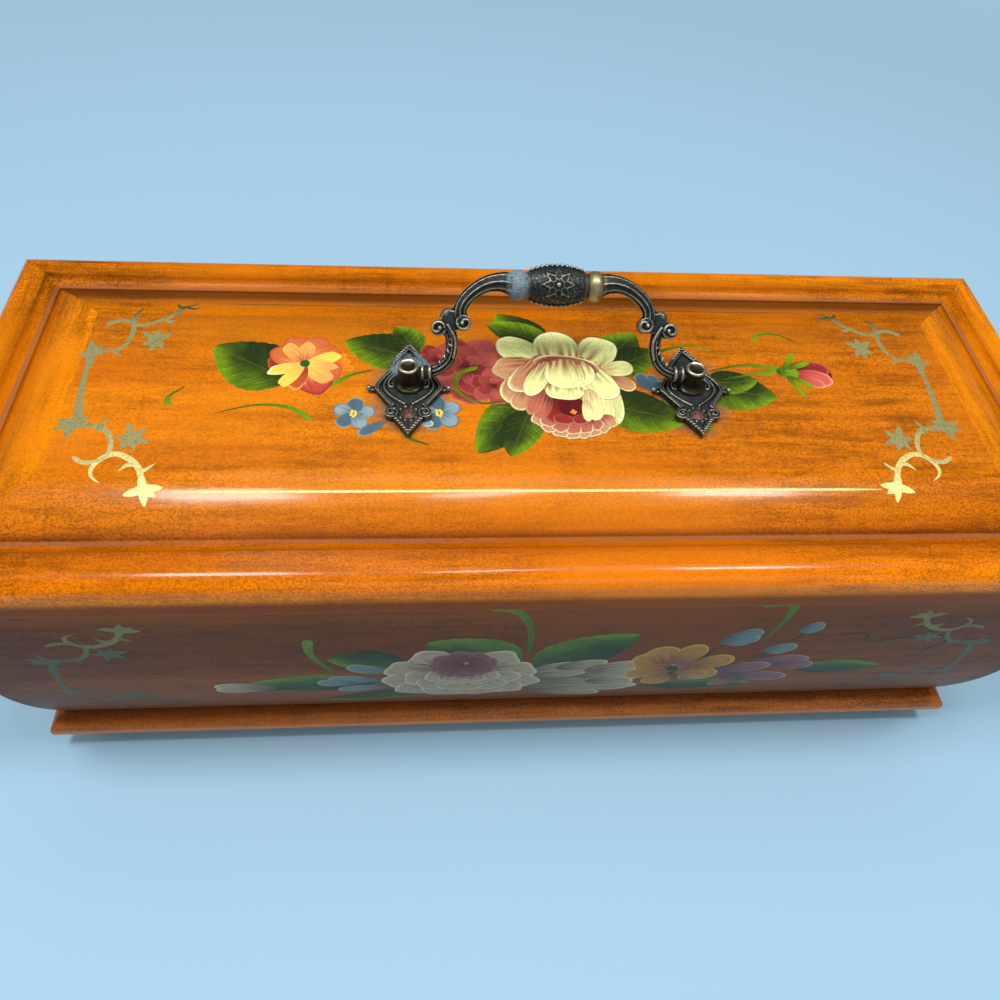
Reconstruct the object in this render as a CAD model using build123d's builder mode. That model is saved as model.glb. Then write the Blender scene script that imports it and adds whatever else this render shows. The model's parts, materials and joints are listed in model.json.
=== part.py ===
from build123d import *
import math
import os

# A painted wooden box for papers and keepsakes. Millimetres, +Z up, +X along the front edge,
# the front facing -Y. The origin is on the table, under the middle of the lid.

# Lid
lid_length = 355.0
lid_width = 137.0
lid_edge = 16.0
lid_gap = 0.4
rail_top_round = 5.5
rail_low_round = 1.5
rim_width = 11.5
cove_run = 5.0
cove_drop = 2.2
bevel_angle = 26.0
bevel_run = 8.0
shoulder_radius = 26.0
panel_thickness = 10.0
panel_ledge = 8.0

# Case walls: a moulding that bellies out below the lid and tucks in to the plinth
wall_height = 90.0
wall_thickness = 12.0
top_inset = 3.0
belly_inset = 1.8
belly_depth = 45.0
foot_of_wall_inset = 9.5

# Plinth and floor
plinth_thickness = 9.0
plinth_inset = 3.3
plinth_width = 22.0
plinth_ledge = 0.5
plinth_nose = 3.0
plinth_arris = 1.0
floor_thickness = 5.0
floor_lap_width = 1.8

# Feet, one under each corner of the plinth
foot_height = 10.0
foot_top_radius = 7.5
foot_base_radius = 6.4
foot_round = 1.6
foot_from_end = 15.0
foot_from_front = 12.0
foot_recess_radius = 3.6
foot_recess_depth = 5.0
foot_screw_radius = 1.5
foot_screw_bite = 6.5
foot_screw_head = 3.1
foot_screw_head_height = 2.0

# Hinges, let in flush under the back edge of the lid
hinge_from_end = 52.5
hinge_length = 30.0
knuckle_gap = 0.2
hinge_axis_back = 0.4
barrel_radius = 2.0
hinge_pin_radius = 0.9
hinge_pin_clearance = 0.05
leaf_thickness = 1.1
leaf_width = 8.8
barrel_room = 0.35
hinge_screw_spacing = 18.0
hinge_screw_from_axis = 5.0
hinge_screw_radius = 1.2
hinge_screw_head = 2.2
hinge_screw_length = 9.0
screw_room = 0.05

# Pull: two cast plates, two posts and one cast bail between them
pull_hole_spacing = 90.0
pull_offset = 5.0
plate_thickness = 1.8
plate_half_width = 10.4
plate_waist_drop = 1.8
plate_neck = 4.5
plate_up = 17.2
plate_shoulder = 10.6
plate_down = 21.2
plate_scroll_drop = 12.4
plate_scroll_out = 5.1
plate_scroll_radius = 2.0
plate_finial_length = 2.3
plate_finial_width = 1.7
plate_rim = 1.3
plate_rim_height = 0.9
post_height = 9.8
post_radius = 3.2
post_foot_radius = 4.2
post_collar_radius = 4.8
post_collar_height = 0.8
post_shaft_height = 5.6
post_dish = 0.6
spigot_radius = 2.8
spigot_clearance = 0.05
pivot_height = 7.0
bail_pin_radius = 1.6
bail_pin_clearance = 0.05
bail_pin_depth = 4.2
bail_shoulder_gap = 0.5
bail_lean = 42.0
bail_reach = 26.3
grip_half_length = 9.0
grip_radius = 5.8
grip_end_radius = 4.0
neck_groove = 0.5
knuckle_length = 4.8
knuckle_radius = 4.6
knuckle_root_radius = 3.9
arm_width = 4.7
arm_end_width = 4.0
flute_depth = 0.55
volute_radius = 2.4
volute_thickness = 4.0
volute_rim_radius = 0.45
volute_rim_inset = 0.62
volute_eye_radius = 0.75
web_radius = 3.3
web_thickness = 2.6
bud_length = 5.0
bud_radius = 1.5
ring_radius = 2.45
ring_width = 1.1
pull_screw_radius = 1.7
pull_screw_bite = 4.6
pull_screw_head = 3.4
pull_screw_head_height = 2.4
plate_pin_radius = 0.9
plate_pin_head = 2.2
plate_pin_head_height = 0.8
plate_pin_depth = 6.0

# Levels
plinth_bottom = foot_height
plinth_top = plinth_bottom + plinth_thickness
wall_top = plinth_top + wall_height
lid_bottom = wall_top + lid_gap
rim_level = lid_bottom + lid_edge
quirk_inset = rim_width + cove_run
shoulder_run = shoulder_radius * math.sin(math.radians(bevel_angle))
shoulder_rise = shoulder_radius * (1 - math.cos(math.radians(bevel_angle)))
bevel_rise = bevel_run * math.tan(math.radians(bevel_angle))
field_inset = quirk_inset + bevel_run + shoulder_run
field_level = rim_level - cove_drop + bevel_rise + shoulder_rise
panel_bottom = field_level - panel_thickness
pivot_level = field_level + pivot_height
axis_level = wall_top + lid_gap / 2
axis_y = lid_width / 2 - top_inset + hinge_axis_back
inner_inset = belly_inset + wall_thickness

up = Vector(0, 0, 1)
os.makedirs("parts", exist_ok=True)


def keep(name, part):
    """Label a finished piece and write it to its own file."""
    part.label = name
    export_step(part, f"parts/{name}.step")


def side_frames():
    """Each side's name, half its length, the middle of its outer edge and its inward direction."""
    half_length = lid_length / 2
    half_width = lid_width / 2
    return [
        ("front", half_length, Vector(0, -half_width, 0), Vector(0, 1, 0)),
        ("back", half_length, Vector(0, half_width, 0), Vector(0, -1, 0)),
        ("left", half_width, Vector(-half_length, 0, 0), Vector(1, 0, 0)),
        ("right", half_width, Vector(half_length, 0, 0), Vector(-1, 0, 0)),
    ]


def mitred(profile, half_run, edge_middle, inward, reach):
    """A moulding of the given profile along one side, mitred at both ends."""
    along = inward.cross(up)
    with BuildPart() as moulding:
        with BuildSketch(Plane(origin=edge_middle, x_dir=inward, z_dir=along)):
            with BuildLine():
                profile()
            make_face()
        extrude(amount=half_run, both=True)
        with BuildSketch(Plane(origin=edge_middle, x_dir=along, z_dir=up)):
            Polygon(
                (-half_run, 0),
                (half_run, 0),
                (half_run - reach, reach),
                (reach - half_run, reach),
                align=None,
            )
        extrude(amount=field_level + 1, mode=Mode.INTERSECT)
    return moulding.part


def lid_profile():
    """Section of a lid rail: x is the distance in from the lid's edge, y the height."""
    quirk_level = rim_level - cove_drop
    bevel_end = (quirk_inset + bevel_run, quirk_level + bevel_rise)
    ledge_inset = field_inset + panel_ledge
    Polyline(
        (field_inset, field_level),
        (field_inset, panel_bottom),
        (ledge_inset, panel_bottom),
        (ledge_inset, lid_bottom),
        (rail_low_round, lid_bottom),
    )
    RadiusArc((rail_low_round, lid_bottom), (0, lid_bottom + rail_low_round), rail_low_round)
    Line((0, lid_bottom + rail_low_round), (0, rim_level - rail_top_round))
    RadiusArc((0, rim_level - rail_top_round), (rail_top_round, rim_level), rail_top_round)
    Line((rail_top_round, rim_level), (rim_width, rim_level))
    ThreePointArc(
        (rim_width, rim_level),
        (rim_width + cove_run * 0.42, rim_level - cove_drop * 0.78),
        (quirk_inset, quirk_level),
    )
    Line((quirk_inset, quirk_level), bevel_end)
    TangentArc((field_inset, field_level), bevel_end, tangent=(-1, 0), tangent_from_first=True)


def wall_profile():
    """Section of a case wall, bellied outside and flat inside."""
    belly = (belly_inset, wall_top - belly_depth)
    TangentArc(belly, (top_inset, wall_top), tangent=(0, 1))
    TangentArc(belly, (foot_of_wall_inset, plinth_top), tangent=(0, -1))
    Polyline(
        (top_inset, wall_top),
        (inner_inset, wall_top),
        (inner_inset, plinth_top),
        (foot_of_wall_inset, plinth_top),
    )


def plinth_profile():
    """Section of a plinth rail: a sloping thumb edge outside, a rebate for the floor inside."""
    brow = (foot_of_wall_inset - plinth_ledge, plinth_top)
    nose = (plinth_inset, plinth_bottom + plinth_nose)
    back = plinth_inset + plinth_width
    ledge = inner_inset - floor_lap_width
    TangentArc(nose, brow, tangent=(0, 1))
    Polyline(
        nose,
        (plinth_inset, plinth_bottom + plinth_arris),
        (plinth_inset + plinth_arris, plinth_bottom),
        (back, plinth_bottom),
        (back, plinth_top - floor_thickness),
        (ledge, plinth_top - floor_thickness),
        (ledge, plinth_top),
        brow,
    )


# Hinge places and the room that each hinge takes out of the wood
hinge_x = lid_length / 2 - hinge_from_end - hinge_length / 2
hinge_places = [("left", -hinge_x), ("right", hinge_x)]


def hinge_room(x, leaf_level, screw_way):
    """The recess for one leaf, its barrel and the pilot holes of its two screws."""
    with BuildPart() as room:
        with BuildSketch(Plane(origin=(x, 0, axis_level), x_dir=(0, 1, 0), z_dir=(1, 0, 0))):
            with Locations((axis_y, 0)):
                Circle(barrel_radius + barrel_room)
        extrude(amount=hinge_length / 2 + knuckle_gap, both=True)
        with BuildSketch(Plane.XY.offset(leaf_level)):
            with Locations((x, axis_y)):
                Rectangle(hinge_length, leaf_width, align=(Align.CENTER, Align.MAX))
        extrude(amount=leaf_thickness)
        pilot = Plane(origin=(x, axis_y - hinge_screw_from_axis, axis_level), z_dir=(0, 0, screw_way))
        with BuildSketch(pilot):
            with GridLocations(hinge_screw_spacing, 1, 2, 1):
                Circle(hinge_screw_radius + screw_room)
        extrude(amount=lid_gap / 2 + hinge_screw_length)
    return room.part


def hinge_leaf(x, leaf_level, screw_way, mine, others):
    """A flat leaf with its knuckles; mine and others are spans (start, end) along the barrel."""
    barrel = Plane(origin=(x, 0, axis_level), x_dir=(0, 1, 0), z_dir=(1, 0, 0))
    face = axis_level + screw_way * lid_gap / 2
    with BuildPart() as leaf:
        with BuildSketch(Plane.XY.offset(leaf_level)):
            with Locations((x, axis_y)):
                Rectangle(hinge_length, leaf_width, align=(Align.CENTER, Align.MAX))
        extrude(amount=leaf_thickness)
        for start, end in others:
            with BuildSketch(barrel.offset(start - knuckle_gap)):
                with Locations((axis_y, 0)):
                    Circle(barrel_radius + barrel_room)
            extrude(amount=end - start + 2 * knuckle_gap, mode=Mode.SUBTRACT)
        for start, end in mine:
            with BuildSketch(barrel.offset(start)):
                with Locations((axis_y, 0)):
                    Circle(barrel_radius)
            extrude(amount=end - start)
        with BuildSketch(barrel.offset(-hinge_length / 2 - 1)):
            with Locations((axis_y, 0)):
                Circle(hinge_pin_radius + hinge_pin_clearance)
        extrude(amount=hinge_length + 2, mode=Mode.SUBTRACT)
        screw_face = Plane(origin=(x, axis_y - hinge_screw_from_axis, face), z_dir=(0, 0, -screw_way))
        with Locations(screw_face):
            with GridLocations(hinge_screw_spacing, 1, 2, 1):
                CounterSinkHole(
                    radius=hinge_screw_radius + screw_room,
                    counter_sink_radius=hinge_screw_head + screw_room,
                    depth=leaf_thickness,
                    counter_sink_angle=90,
                )
    return leaf.part


# Lid rails
lid_reach = field_inset + panel_ledge
lid_rails = {
    side: mitred(lid_profile, half_run, middle, inward, lid_reach)
    for side, half_run, middle, inward in side_frames()
}
for hinge_side, x in hinge_places:
    lid_rails["back"] = lid_rails["back"] - hinge_room(x, lid_bottom, 1)
for side, rail in lid_rails.items():
    keep(f"lid_rail_{side}", rail)

# Lid panel, dropped into the rebate of the rails, with holes for the pull's screws and pins
post_places = [
    ("left", pull_offset - pull_hole_spacing / 2, 1),
    ("right", pull_offset + pull_hole_spacing / 2, -1),
]
with BuildPart() as lid_panel:
    with BuildSketch(Plane.XY.offset(panel_bottom)):
        Rectangle(lid_length - 2 * field_inset, lid_width - 2 * field_inset)
    extrude(amount=panel_thickness)
    with Locations(*[(x, 0, field_level) for post_side, x, inner in post_places]):
        Hole(pull_screw_radius + screw_room, depth=panel_thickness)
    with Locations(*[(x, -plate_scroll_drop, field_level) for post_side, x, inner in post_places]):
        Hole(plate_pin_radius + screw_room, depth=plate_pin_depth)
keep("lid_panel", lid_panel.part)

# Case walls, mitred at the corners
walls = {
    side: mitred(wall_profile, half_run, middle, inward, inner_inset)
    for side, half_run, middle, inward in side_frames()
}
leaf_seat = wall_top - leaf_thickness
for hinge_side, x in hinge_places:
    walls["back"] = walls["back"] - hinge_room(x, leaf_seat, -1)
for side, wall in walls.items():
    keep(f"wall_{side}", wall)

# Plinth rails, with the pilot holes for the foot screws
foot_x = lid_length / 2 - plinth_inset - foot_from_end
foot_y = lid_width / 2 - plinth_inset - foot_from_front
foot_places = [
    ("front_left", -foot_x, -foot_y),
    ("front_right", foot_x, -foot_y),
    ("back_left", -foot_x, foot_y),
    ("back_right", foot_x, foot_y),
]
with BuildPart() as foot_pilots:
    with BuildSketch(Plane.XY.offset(plinth_bottom)):
        with Locations(*[(x, y) for foot_name, x, y in foot_places]):
            Circle(foot_screw_radius + screw_room)
    extrude(amount=foot_screw_bite)
plinth_reach = plinth_inset + plinth_width
for side, half_run, middle, inward in side_frames():
    rail = mitred(plinth_profile, half_run, middle, inward, plinth_reach)
    keep(f"plinth_{side}", rail - foot_pilots.part)

# Floor panel, lying in the plinth's rebate with its edges under the walls
floor_inset = inner_inset - floor_lap_width
with BuildPart() as floor_panel:
    with BuildSketch(Plane.XY.offset(plinth_top - floor_thickness)):
        Rectangle(lid_length - 2 * floor_inset, lid_width - 2 * floor_inset)
    extrude(amount=floor_thickness)
keep("floor_panel", floor_panel.part - foot_pilots.part)

# Feet: turned, with a recess for the screw head
for foot_name, x, y in foot_places:
    with BuildPart() as foot:
        with BuildSketch(Plane(origin=(x, y, 0), x_dir=(1, 0, 0), z_dir=(0, -1, 0))):
            with BuildLine():
                Polyline(
                    (foot_screw_radius + screw_room, foot_height),
                    (foot_screw_radius + screw_room, foot_recess_depth),
                    (foot_recess_radius, foot_recess_depth),
                    (foot_recess_radius, 0),
                    (foot_base_radius - foot_round, 0),
                )
                shoulder = (foot_base_radius, foot_round)
                RadiusArc((foot_base_radius - foot_round, 0), shoulder, -foot_round)
                Line(shoulder, (foot_top_radius, foot_height))
                Line((foot_top_radius, foot_height), (foot_screw_radius + screw_room, foot_height))
            make_face()
        revolve(axis=Axis((x, y, 0), (0, 0, 1)))
    keep(f"foot_{foot_name}", foot.part)

# Foot screws: pan heads in the recesses, shanks up into the plinth
with BuildPart() as foot_screws:
    with BuildSketch(Plane.XY.offset(foot_recess_depth - foot_screw_head_height)):
        with Locations(*[(x, y) for foot_name, x, y in foot_places]):
            Circle(foot_screw_head)
    extrude(amount=foot_screw_head_height)
    fillet(foot_screws.faces().sort_by(Axis.Z)[:4].edges(), foot_screw_head_height * 0.4)
    with BuildSketch(Plane.XY.offset(foot_recess_depth)):
        with Locations(*[(x, y) for foot_name, x, y in foot_places]):
            Circle(foot_screw_radius)
    extrude(amount=foot_height - foot_recess_depth + foot_screw_bite - 0.5)
keep("foot_screws", foot_screws.part)

# Hinges: three knuckles each, the outer two on the case leaf and the middle one on the lid leaf
knuckle = (hinge_length - 2 * knuckle_gap) / 3
outer_spans = [(-hinge_length / 2, knuckle - hinge_length / 2), (hinge_length / 2 - knuckle, hinge_length / 2)]
middle_span = [(-knuckle / 2, knuckle / 2)]
for hinge_side, x in hinge_places:
    keep(f"hinge_{hinge_side}_case_leaf", hinge_leaf(x, leaf_seat, -1, outer_spans, middle_span))
    keep(f"hinge_{hinge_side}_lid_leaf", hinge_leaf(x, lid_bottom, 1, middle_span, outer_spans))
    with BuildPart() as hinge_pin:
        with BuildSketch(Plane(origin=(x, 0, axis_level), x_dir=(0, 1, 0), z_dir=(1, 0, 0))):
            with Locations((axis_y, 0)):
                Circle(hinge_pin_radius)
        extrude(amount=hinge_length / 2, both=True)
    keep(f"hinge_{hinge_side}_pin", hinge_pin.part)


def hinge_screws(face_level, screw_way):
    """Four countersunk screws, two in each leaf, heads flush with the leaf's face."""
    head_drop = hinge_screw_head - hinge_screw_radius
    with BuildPart() as screws:
        for hinge_side, x in hinge_places:
            y = axis_y - hinge_screw_from_axis
            face = Plane(origin=(x, y, face_level), x_dir=(1, 0, 0), z_dir=(0, 0, screw_way))
            with BuildSketch(face):
                with GridLocations(hinge_screw_spacing, 1, 2, 1):
                    Circle(hinge_screw_head)
            extrude(amount=head_drop, taper=45)
            with BuildSketch(face.offset(head_drop)):
                with GridLocations(hinge_screw_spacing, 1, 2, 1):
                    Circle(hinge_screw_radius)
            extrude(amount=hinge_screw_length - head_drop - 0.5)
    return screws.part


keep("hinge_case_screws", hinge_screws(wall_top, -1))
keep("hinge_lid_screws", hinge_screws(lid_bottom, 1))


def plate_outline(margin):
    """Half of the plate's ogee outline, right of its middle line, drawn in by a margin."""
    neck = plate_neck - margin * 0.8
    side = plate_half_width - margin
    hip = side * 0.8
    shoulder = plate_shoulder - margin * 0.5
    scroll = plate_scroll_drop - margin * 0.5
    finial = plate_finial_width / 2
    brow = (neck * 1.25, shoulder * 0.58)
    Line((0, plate_up - 2 * margin), (neck, shoulder))
    ThreePointArc((neck, shoulder), (neck * 1.35, shoulder * 0.78), brow)
    ThreePointArc(brow, (hip, shoulder * 0.22), (side, finial - plate_waist_drop))
    Line((side, finial - plate_waist_drop), (side, -finial - plate_waist_drop))
    ThreePointArc((side, -finial - plate_waist_drop), (hip, -scroll * 0.45), (neck * 1.2, -scroll * 0.79))
    ThreePointArc((neck * 1.2, -scroll * 0.79), (neck * 1.5, -scroll * 0.96), (neck, -scroll * 1.16))
    Line((neck, -scroll * 1.16), (0, 2 * margin - plate_down))


# Pull plates: an ogee diamond with a raised rim, two scrolls and two finials, bored for the post
# and the pin
for post_side, x, inner in post_places:
    with BuildPart() as plate:
        with BuildSketch(Plane(origin=(x, 0, field_level))):
            with BuildLine():
                plate_outline(0)
                mirror(about=Plane.YZ)
            make_face()
        extrude(amount=plate_thickness + plate_rim_height)
        with BuildSketch(Plane(origin=(x, 0, field_level + plate_thickness))):
            with BuildLine():
                plate_outline(plate_rim)
                mirror(about=Plane.YZ)
            make_face()
        extrude(amount=plate_rim_height, mode=Mode.SUBTRACT)
        with BuildSketch(Plane(origin=(x, 0, field_level))):
            with Locations((-plate_scroll_out, -plate_scroll_drop), (plate_scroll_out, -plate_scroll_drop)):
                Circle(plate_scroll_radius)
        extrude(amount=plate_thickness + plate_rim_height)
        with BuildSketch(Plane(origin=(x, 0, field_level))):
            with Locations((0, -plate_waist_drop)):
                SlotOverall(2 * (plate_half_width + plate_finial_length), plate_finial_width)
        extrude(amount=plate_thickness)
        with Locations((x, 0, field_level + plate_thickness)):
            Hole(spigot_radius + spigot_clearance, depth=plate_thickness)
        with Locations((x, -plate_scroll_drop, field_level + plate_thickness)):
            Hole(plate_pin_radius + screw_room, depth=plate_thickness)
    keep(f"handle_plate_{post_side}", plate.part)

# Posts: turned, with a flared foot, a dished top, a blind cross bore for the bail and a hole for
# the screw
for post_side, x, inner in post_places:
    collar_level = field_level + plate_thickness + post_collar_height
    post_top = field_level + post_height
    shaft_level = post_top - post_shaft_height
    dish_edge = post_radius - post_dish
    dish_radius = (dish_edge ** 2 + post_dish ** 2) / (2 * post_dish)
    with BuildPart() as post:
        with BuildSketch(Plane(origin=(x, 0, 0), x_dir=(1, 0, 0), z_dir=(0, -1, 0))):
            with BuildLine():
                Polyline(
                    (0, post_top - post_dish),
                    (0, field_level),
                    (spigot_radius, field_level),
                    (spigot_radius, field_level + plate_thickness),
                    (post_collar_radius, field_level + plate_thickness),
                    (post_collar_radius, collar_level),
                    (post_foot_radius, collar_level),
                )
                TangentArc((post_radius, shaft_level), (post_foot_radius, collar_level), tangent=(0, -1))
                Line((post_radius, shaft_level), (post_radius, post_top - post_dish))
                RadiusArc((post_radius, post_top - post_dish), (dish_edge, post_top), -post_dish)
                RadiusArc((dish_edge, post_top), (0, post_top - post_dish), dish_radius)
            make_face()
        revolve(axis=Axis((x, 0, 0), (0, 0, 1)))
        with BuildSketch(Plane(origin=(x + inner * (post_radius + 1), 0, pivot_level), z_dir=(-inner, 0, 0))):
            Circle(bail_pin_radius + bail_pin_clearance)
        extrude(amount=1 + bail_pin_depth + bail_shoulder_gap, mode=Mode.SUBTRACT)
        with BuildSketch(Plane.XY.offset(field_level)):
            with Locations((x, 0)):
                Circle(pull_screw_radius + screw_room)
        extrude(amount=pull_screw_bite + 0.2, mode=Mode.SUBTRACT)
    keep(f"handle_post_{post_side}", post.part)

# Pull screws, up through the panel into the posts
with BuildPart() as handle_screws:
    with BuildSketch(Plane.XY.offset(panel_bottom - pull_screw_head_height)):
        with Locations(*[(x, 0) for post_side, x, inner in post_places]):
            Circle(pull_screw_head)
    extrude(amount=pull_screw_head_height)
    fillet(handle_screws.faces().sort_by(Axis.Z)[:2].edges(), pull_screw_head_height * 0.4)
    with BuildSketch(Plane.XY.offset(panel_bottom)):
        with Locations(*[(x, 0) for post_side, x, inner in post_places]):
            Circle(pull_screw_radius)
    extrude(amount=panel_thickness + pull_screw_bite)
keep("handle_screws", handle_screws.part)

# Plate pins: small domed nails through the lower lobe of each plate
with BuildPart() as plate_pins:
    for post_side, x, inner in post_places:
        pin_face = field_level + plate_thickness
        pin_tip = pin_face - plate_thickness - plate_pin_depth + 0.5
        with BuildSketch(Plane(origin=(x, -plate_scroll_drop, 0), x_dir=(1, 0, 0), z_dir=(0, -1, 0))):
            with BuildLine():
                Polyline(
                    (0, pin_face + plate_pin_head_height),
                    (0, pin_tip),
                    (plate_pin_radius, pin_tip),
                    (plate_pin_radius, pin_face),
                    (plate_pin_head, pin_face),
                )
                crown = (0, pin_face + plate_pin_head_height)
                TangentArc(crown, (plate_pin_head, pin_face), tangent=(1, 0))
            make_face()
        revolve(axis=Axis((x, -plate_scroll_drop, 0), (0, 0, 1)))
keep("plate_pins", plate_pins.part)

# Bail: one casting. Its own plane holds the pivots' line as x and the reach to the grip as y.
lean = math.radians(bail_lean)
bail_plane = Plane(
    origin=(pull_offset, 0, pivot_level),
    x_dir=(1, 0, 0),
    z_dir=(0, -math.cos(lean), math.sin(lean)),
)
half_pull = pull_hole_spacing / 2
shoulder_x = half_pull - post_radius - bail_shoulder_gap
knuckle_end = grip_half_length + knuckle_length
arm_steps = 9
arm_ridges = 8

# The lines of the casting, as shares of the half span and of the reach, from the grip down
upper_arm_line = [(0.284, 1.0), (0.451, 1.015), (0.583, 0.886), (0.646, 0.734), (0.633, 0.58)]
lower_arm_line = [(0.776, 0.517), (0.722, 0.46), (0.704, 0.33), (0.736, 0.12), (0.83, 0.015), (0.91, 0.0)]
high_volute = (0.627, 0.563)
low_volute = (0.795, 0.505)
web_centre = (0.713, 0.58)
scroll_tightening = 0.62
bud_ends = ((0.7, 0.735), (0.785, 0.6))
upper_arm_widths = (1.6, 0.96)
lower_arm_widths = (0.9, 0.85)
arm_taper_power = 3


def on_bail(share, way):
    """The point of the bail's plane at a pair of shares, on the side that way gives."""
    return (way * share[0] * half_pull, share[1] * bail_reach)


def limb(line, widths, way):
    """A fluted limb lofted along a smooth line, its width soon settling from the first share to the last."""
    with BuildLine(bail_plane) as spine:
        Spline(*[on_bail(share, way) for share in line])
    path = spine.edge()
    with BuildPart() as body:
        for step in range(arm_steps):
            t = step / (arm_steps - 1)
            width = widths[1] + (widths[0] - widths[1]) * (1 - t) ** arm_taper_power
            ridge = arm_width / 2 * width
            section = Plane(origin=path @ t, x_dir=bail_plane.z_dir, z_dir=path % t)
            with BuildSketch(section):
                with BuildLine():
                    for index in range(arm_ridges):
                        turn = 360 / arm_ridges
                        start = Vector(ridge, 0).rotate(Axis.Z, index * turn)
                        middle = Vector(ridge - flute_depth, 0).rotate(Axis.Z, (index + 0.5) * turn)
                        end = Vector(ridge, 0).rotate(Axis.Z, (index + 1) * turn)
                        ThreePointArc(start, middle, end)
                make_face()
        loft()
    return body.part


def scroll_rim(centre, way, start_side, face):
    """A raised spiral on one face of a volute: two half turns, the second tighter, and an eye."""
    plane = bail_plane.offset(face * volute_thickness / 2)
    out = bail_plane.x_dir * (way * start_side)
    side = bail_plane.y_dir * -start_side
    radius = volute_radius - volute_rim_inset
    middle = plane.from_local_coords(on_bail(centre, way))
    with BuildLine() as spiral:
        for half_turn in range(2):
            ThreePointArc(middle + out * radius, middle + side * radius, middle - out * radius)
            tighter = radius * scroll_tightening
            middle = middle - out * (radius - tighter)
            radius = tighter
            out = -out
            side = -side
    path = Wire(spiral.edges())
    with BuildPart() as rim:
        with BuildSketch(Plane(origin=path @ 0, z_dir=path % 0)):
            Circle(volute_rim_radius)
        sweep(path=path)
        with Locations(path @ 1):
            Sphere(volute_eye_radius)
    return rim.part


def turned_grip():
    """Half of the grip's outline above its axis: barrel, neck grooves and knuckles."""
    axis = bail_reach
    Line((-knuckle_end, axis), (knuckle_end, axis))
    ThreePointArc(
        (-grip_half_length, axis + grip_end_radius),
        (0, axis + grip_radius),
        (grip_half_length, axis + grip_end_radius),
    )
    for way in (-1, 1):
        groove = (way * (grip_half_length + neck_groove), axis + grip_end_radius - neck_groove)
        lip = (way * (grip_half_length + 2 * neck_groove), axis + grip_end_radius)
        crest = (way * (grip_half_length + knuckle_length / 2), axis + knuckle_radius)
        root = (way * knuckle_end, axis + knuckle_root_radius)
        Line((way * grip_half_length, axis + grip_end_radius), groove)
        Line(groove, lip)
        ThreePointArc(lip, crest, root)
        Line(root, (way * knuckle_end, axis))


def turned_end():
    """Half of the outline of a bail's end: two rings and the pin, along the pivots' line."""
    start = shoulder_x - 3 * ring_width
    neck = arm_end_width / 2
    Polyline((start, neck), (start, 0), (shoulder_x + bail_shoulder_gap + bail_pin_depth, 0))
    Polyline(
        (shoulder_x + bail_shoulder_gap + bail_pin_depth, 0),
        (shoulder_x + bail_shoulder_gap + bail_pin_depth, bail_pin_radius),
        (shoulder_x, bail_pin_radius),
        (shoulder_x, neck),
    )
    for near in (shoulder_x - ring_width, shoulder_x - 3 * ring_width):
        ThreePointArc((near + ring_width, neck), (near + ring_width / 2, ring_radius), (near, neck))
    Line((shoulder_x - ring_width, neck), (shoulder_x - 2 * ring_width, neck))


with BuildPart() as bail:
    with BuildSketch(bail_plane):
        with BuildLine():
            turned_grip()
        make_face()
    revolve(axis=Axis(bail_plane.from_local_coords((0, bail_reach, 0)), (1, 0, 0)))
    with BuildSketch(bail_plane) as end_sketch:
        with BuildLine():
            turned_end()
        make_face()
        mirror(about=Plane.YZ)
    revolve(axis=Axis(bail_plane.origin, (1, 0, 0)))
    for way in (-1, 1):
        add(limb(upper_arm_line, upper_arm_widths, way))
        add(limb(lower_arm_line, lower_arm_widths, way))
        with BuildSketch(bail_plane.offset(-web_thickness / 2)):
            with Locations(on_bail(web_centre, way)):
                Circle(web_radius)
        extrude(amount=web_thickness)
        for centre, start_side in ((high_volute, 1), (low_volute, -1)):
            with BuildSketch(bail_plane.offset(-volute_thickness / 2)):
                with Locations(on_bail(centre, way)):
                    Circle(volute_radius)
            extrude(amount=volute_thickness)
            for face in (-1, 1):
                add(scroll_rim(centre, way, start_side, face))
        bud_start = Vector(*on_bail(bud_ends[0], way))
        bud_end = Vector(*on_bail(bud_ends[1], way))
        bud_side = (bud_end - bud_start).normalized().rotate(Axis.Z, -90 * way)
        bud_middle = (bud_start + bud_end) / 2
        with BuildSketch(bail_plane):
            with BuildLine():
                ThreePointArc(bud_start, bud_middle + bud_side * bud_radius, bud_end)
                Line(bud_end, bud_start)
            make_face()
        bud_axis = bail_plane.from_local_coords(bud_end) - bail_plane.from_local_coords(bud_start)
        revolve(axis=Axis(bail_plane.from_local_coords(bud_start), bud_axis))
keep("bail_handle", bail.part)
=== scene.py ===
import json
import math

import bmesh
import bpy
import numpy as np
from mathutils import Matrix, Vector
from mathutils.bvhtree import BVHTree


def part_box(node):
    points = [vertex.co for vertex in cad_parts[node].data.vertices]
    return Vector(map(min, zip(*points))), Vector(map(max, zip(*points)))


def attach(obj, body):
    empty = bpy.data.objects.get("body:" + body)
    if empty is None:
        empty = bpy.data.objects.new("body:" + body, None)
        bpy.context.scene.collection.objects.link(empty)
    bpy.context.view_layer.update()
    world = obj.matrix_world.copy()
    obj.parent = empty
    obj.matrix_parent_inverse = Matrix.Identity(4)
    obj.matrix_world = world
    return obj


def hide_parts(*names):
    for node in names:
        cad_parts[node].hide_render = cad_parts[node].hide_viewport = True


# A painted wooden box with a moulded lid, a bellied case and a cast bail pull.
# Metres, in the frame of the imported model. Ornament is laid out in millimetres on flat sheets.

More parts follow.
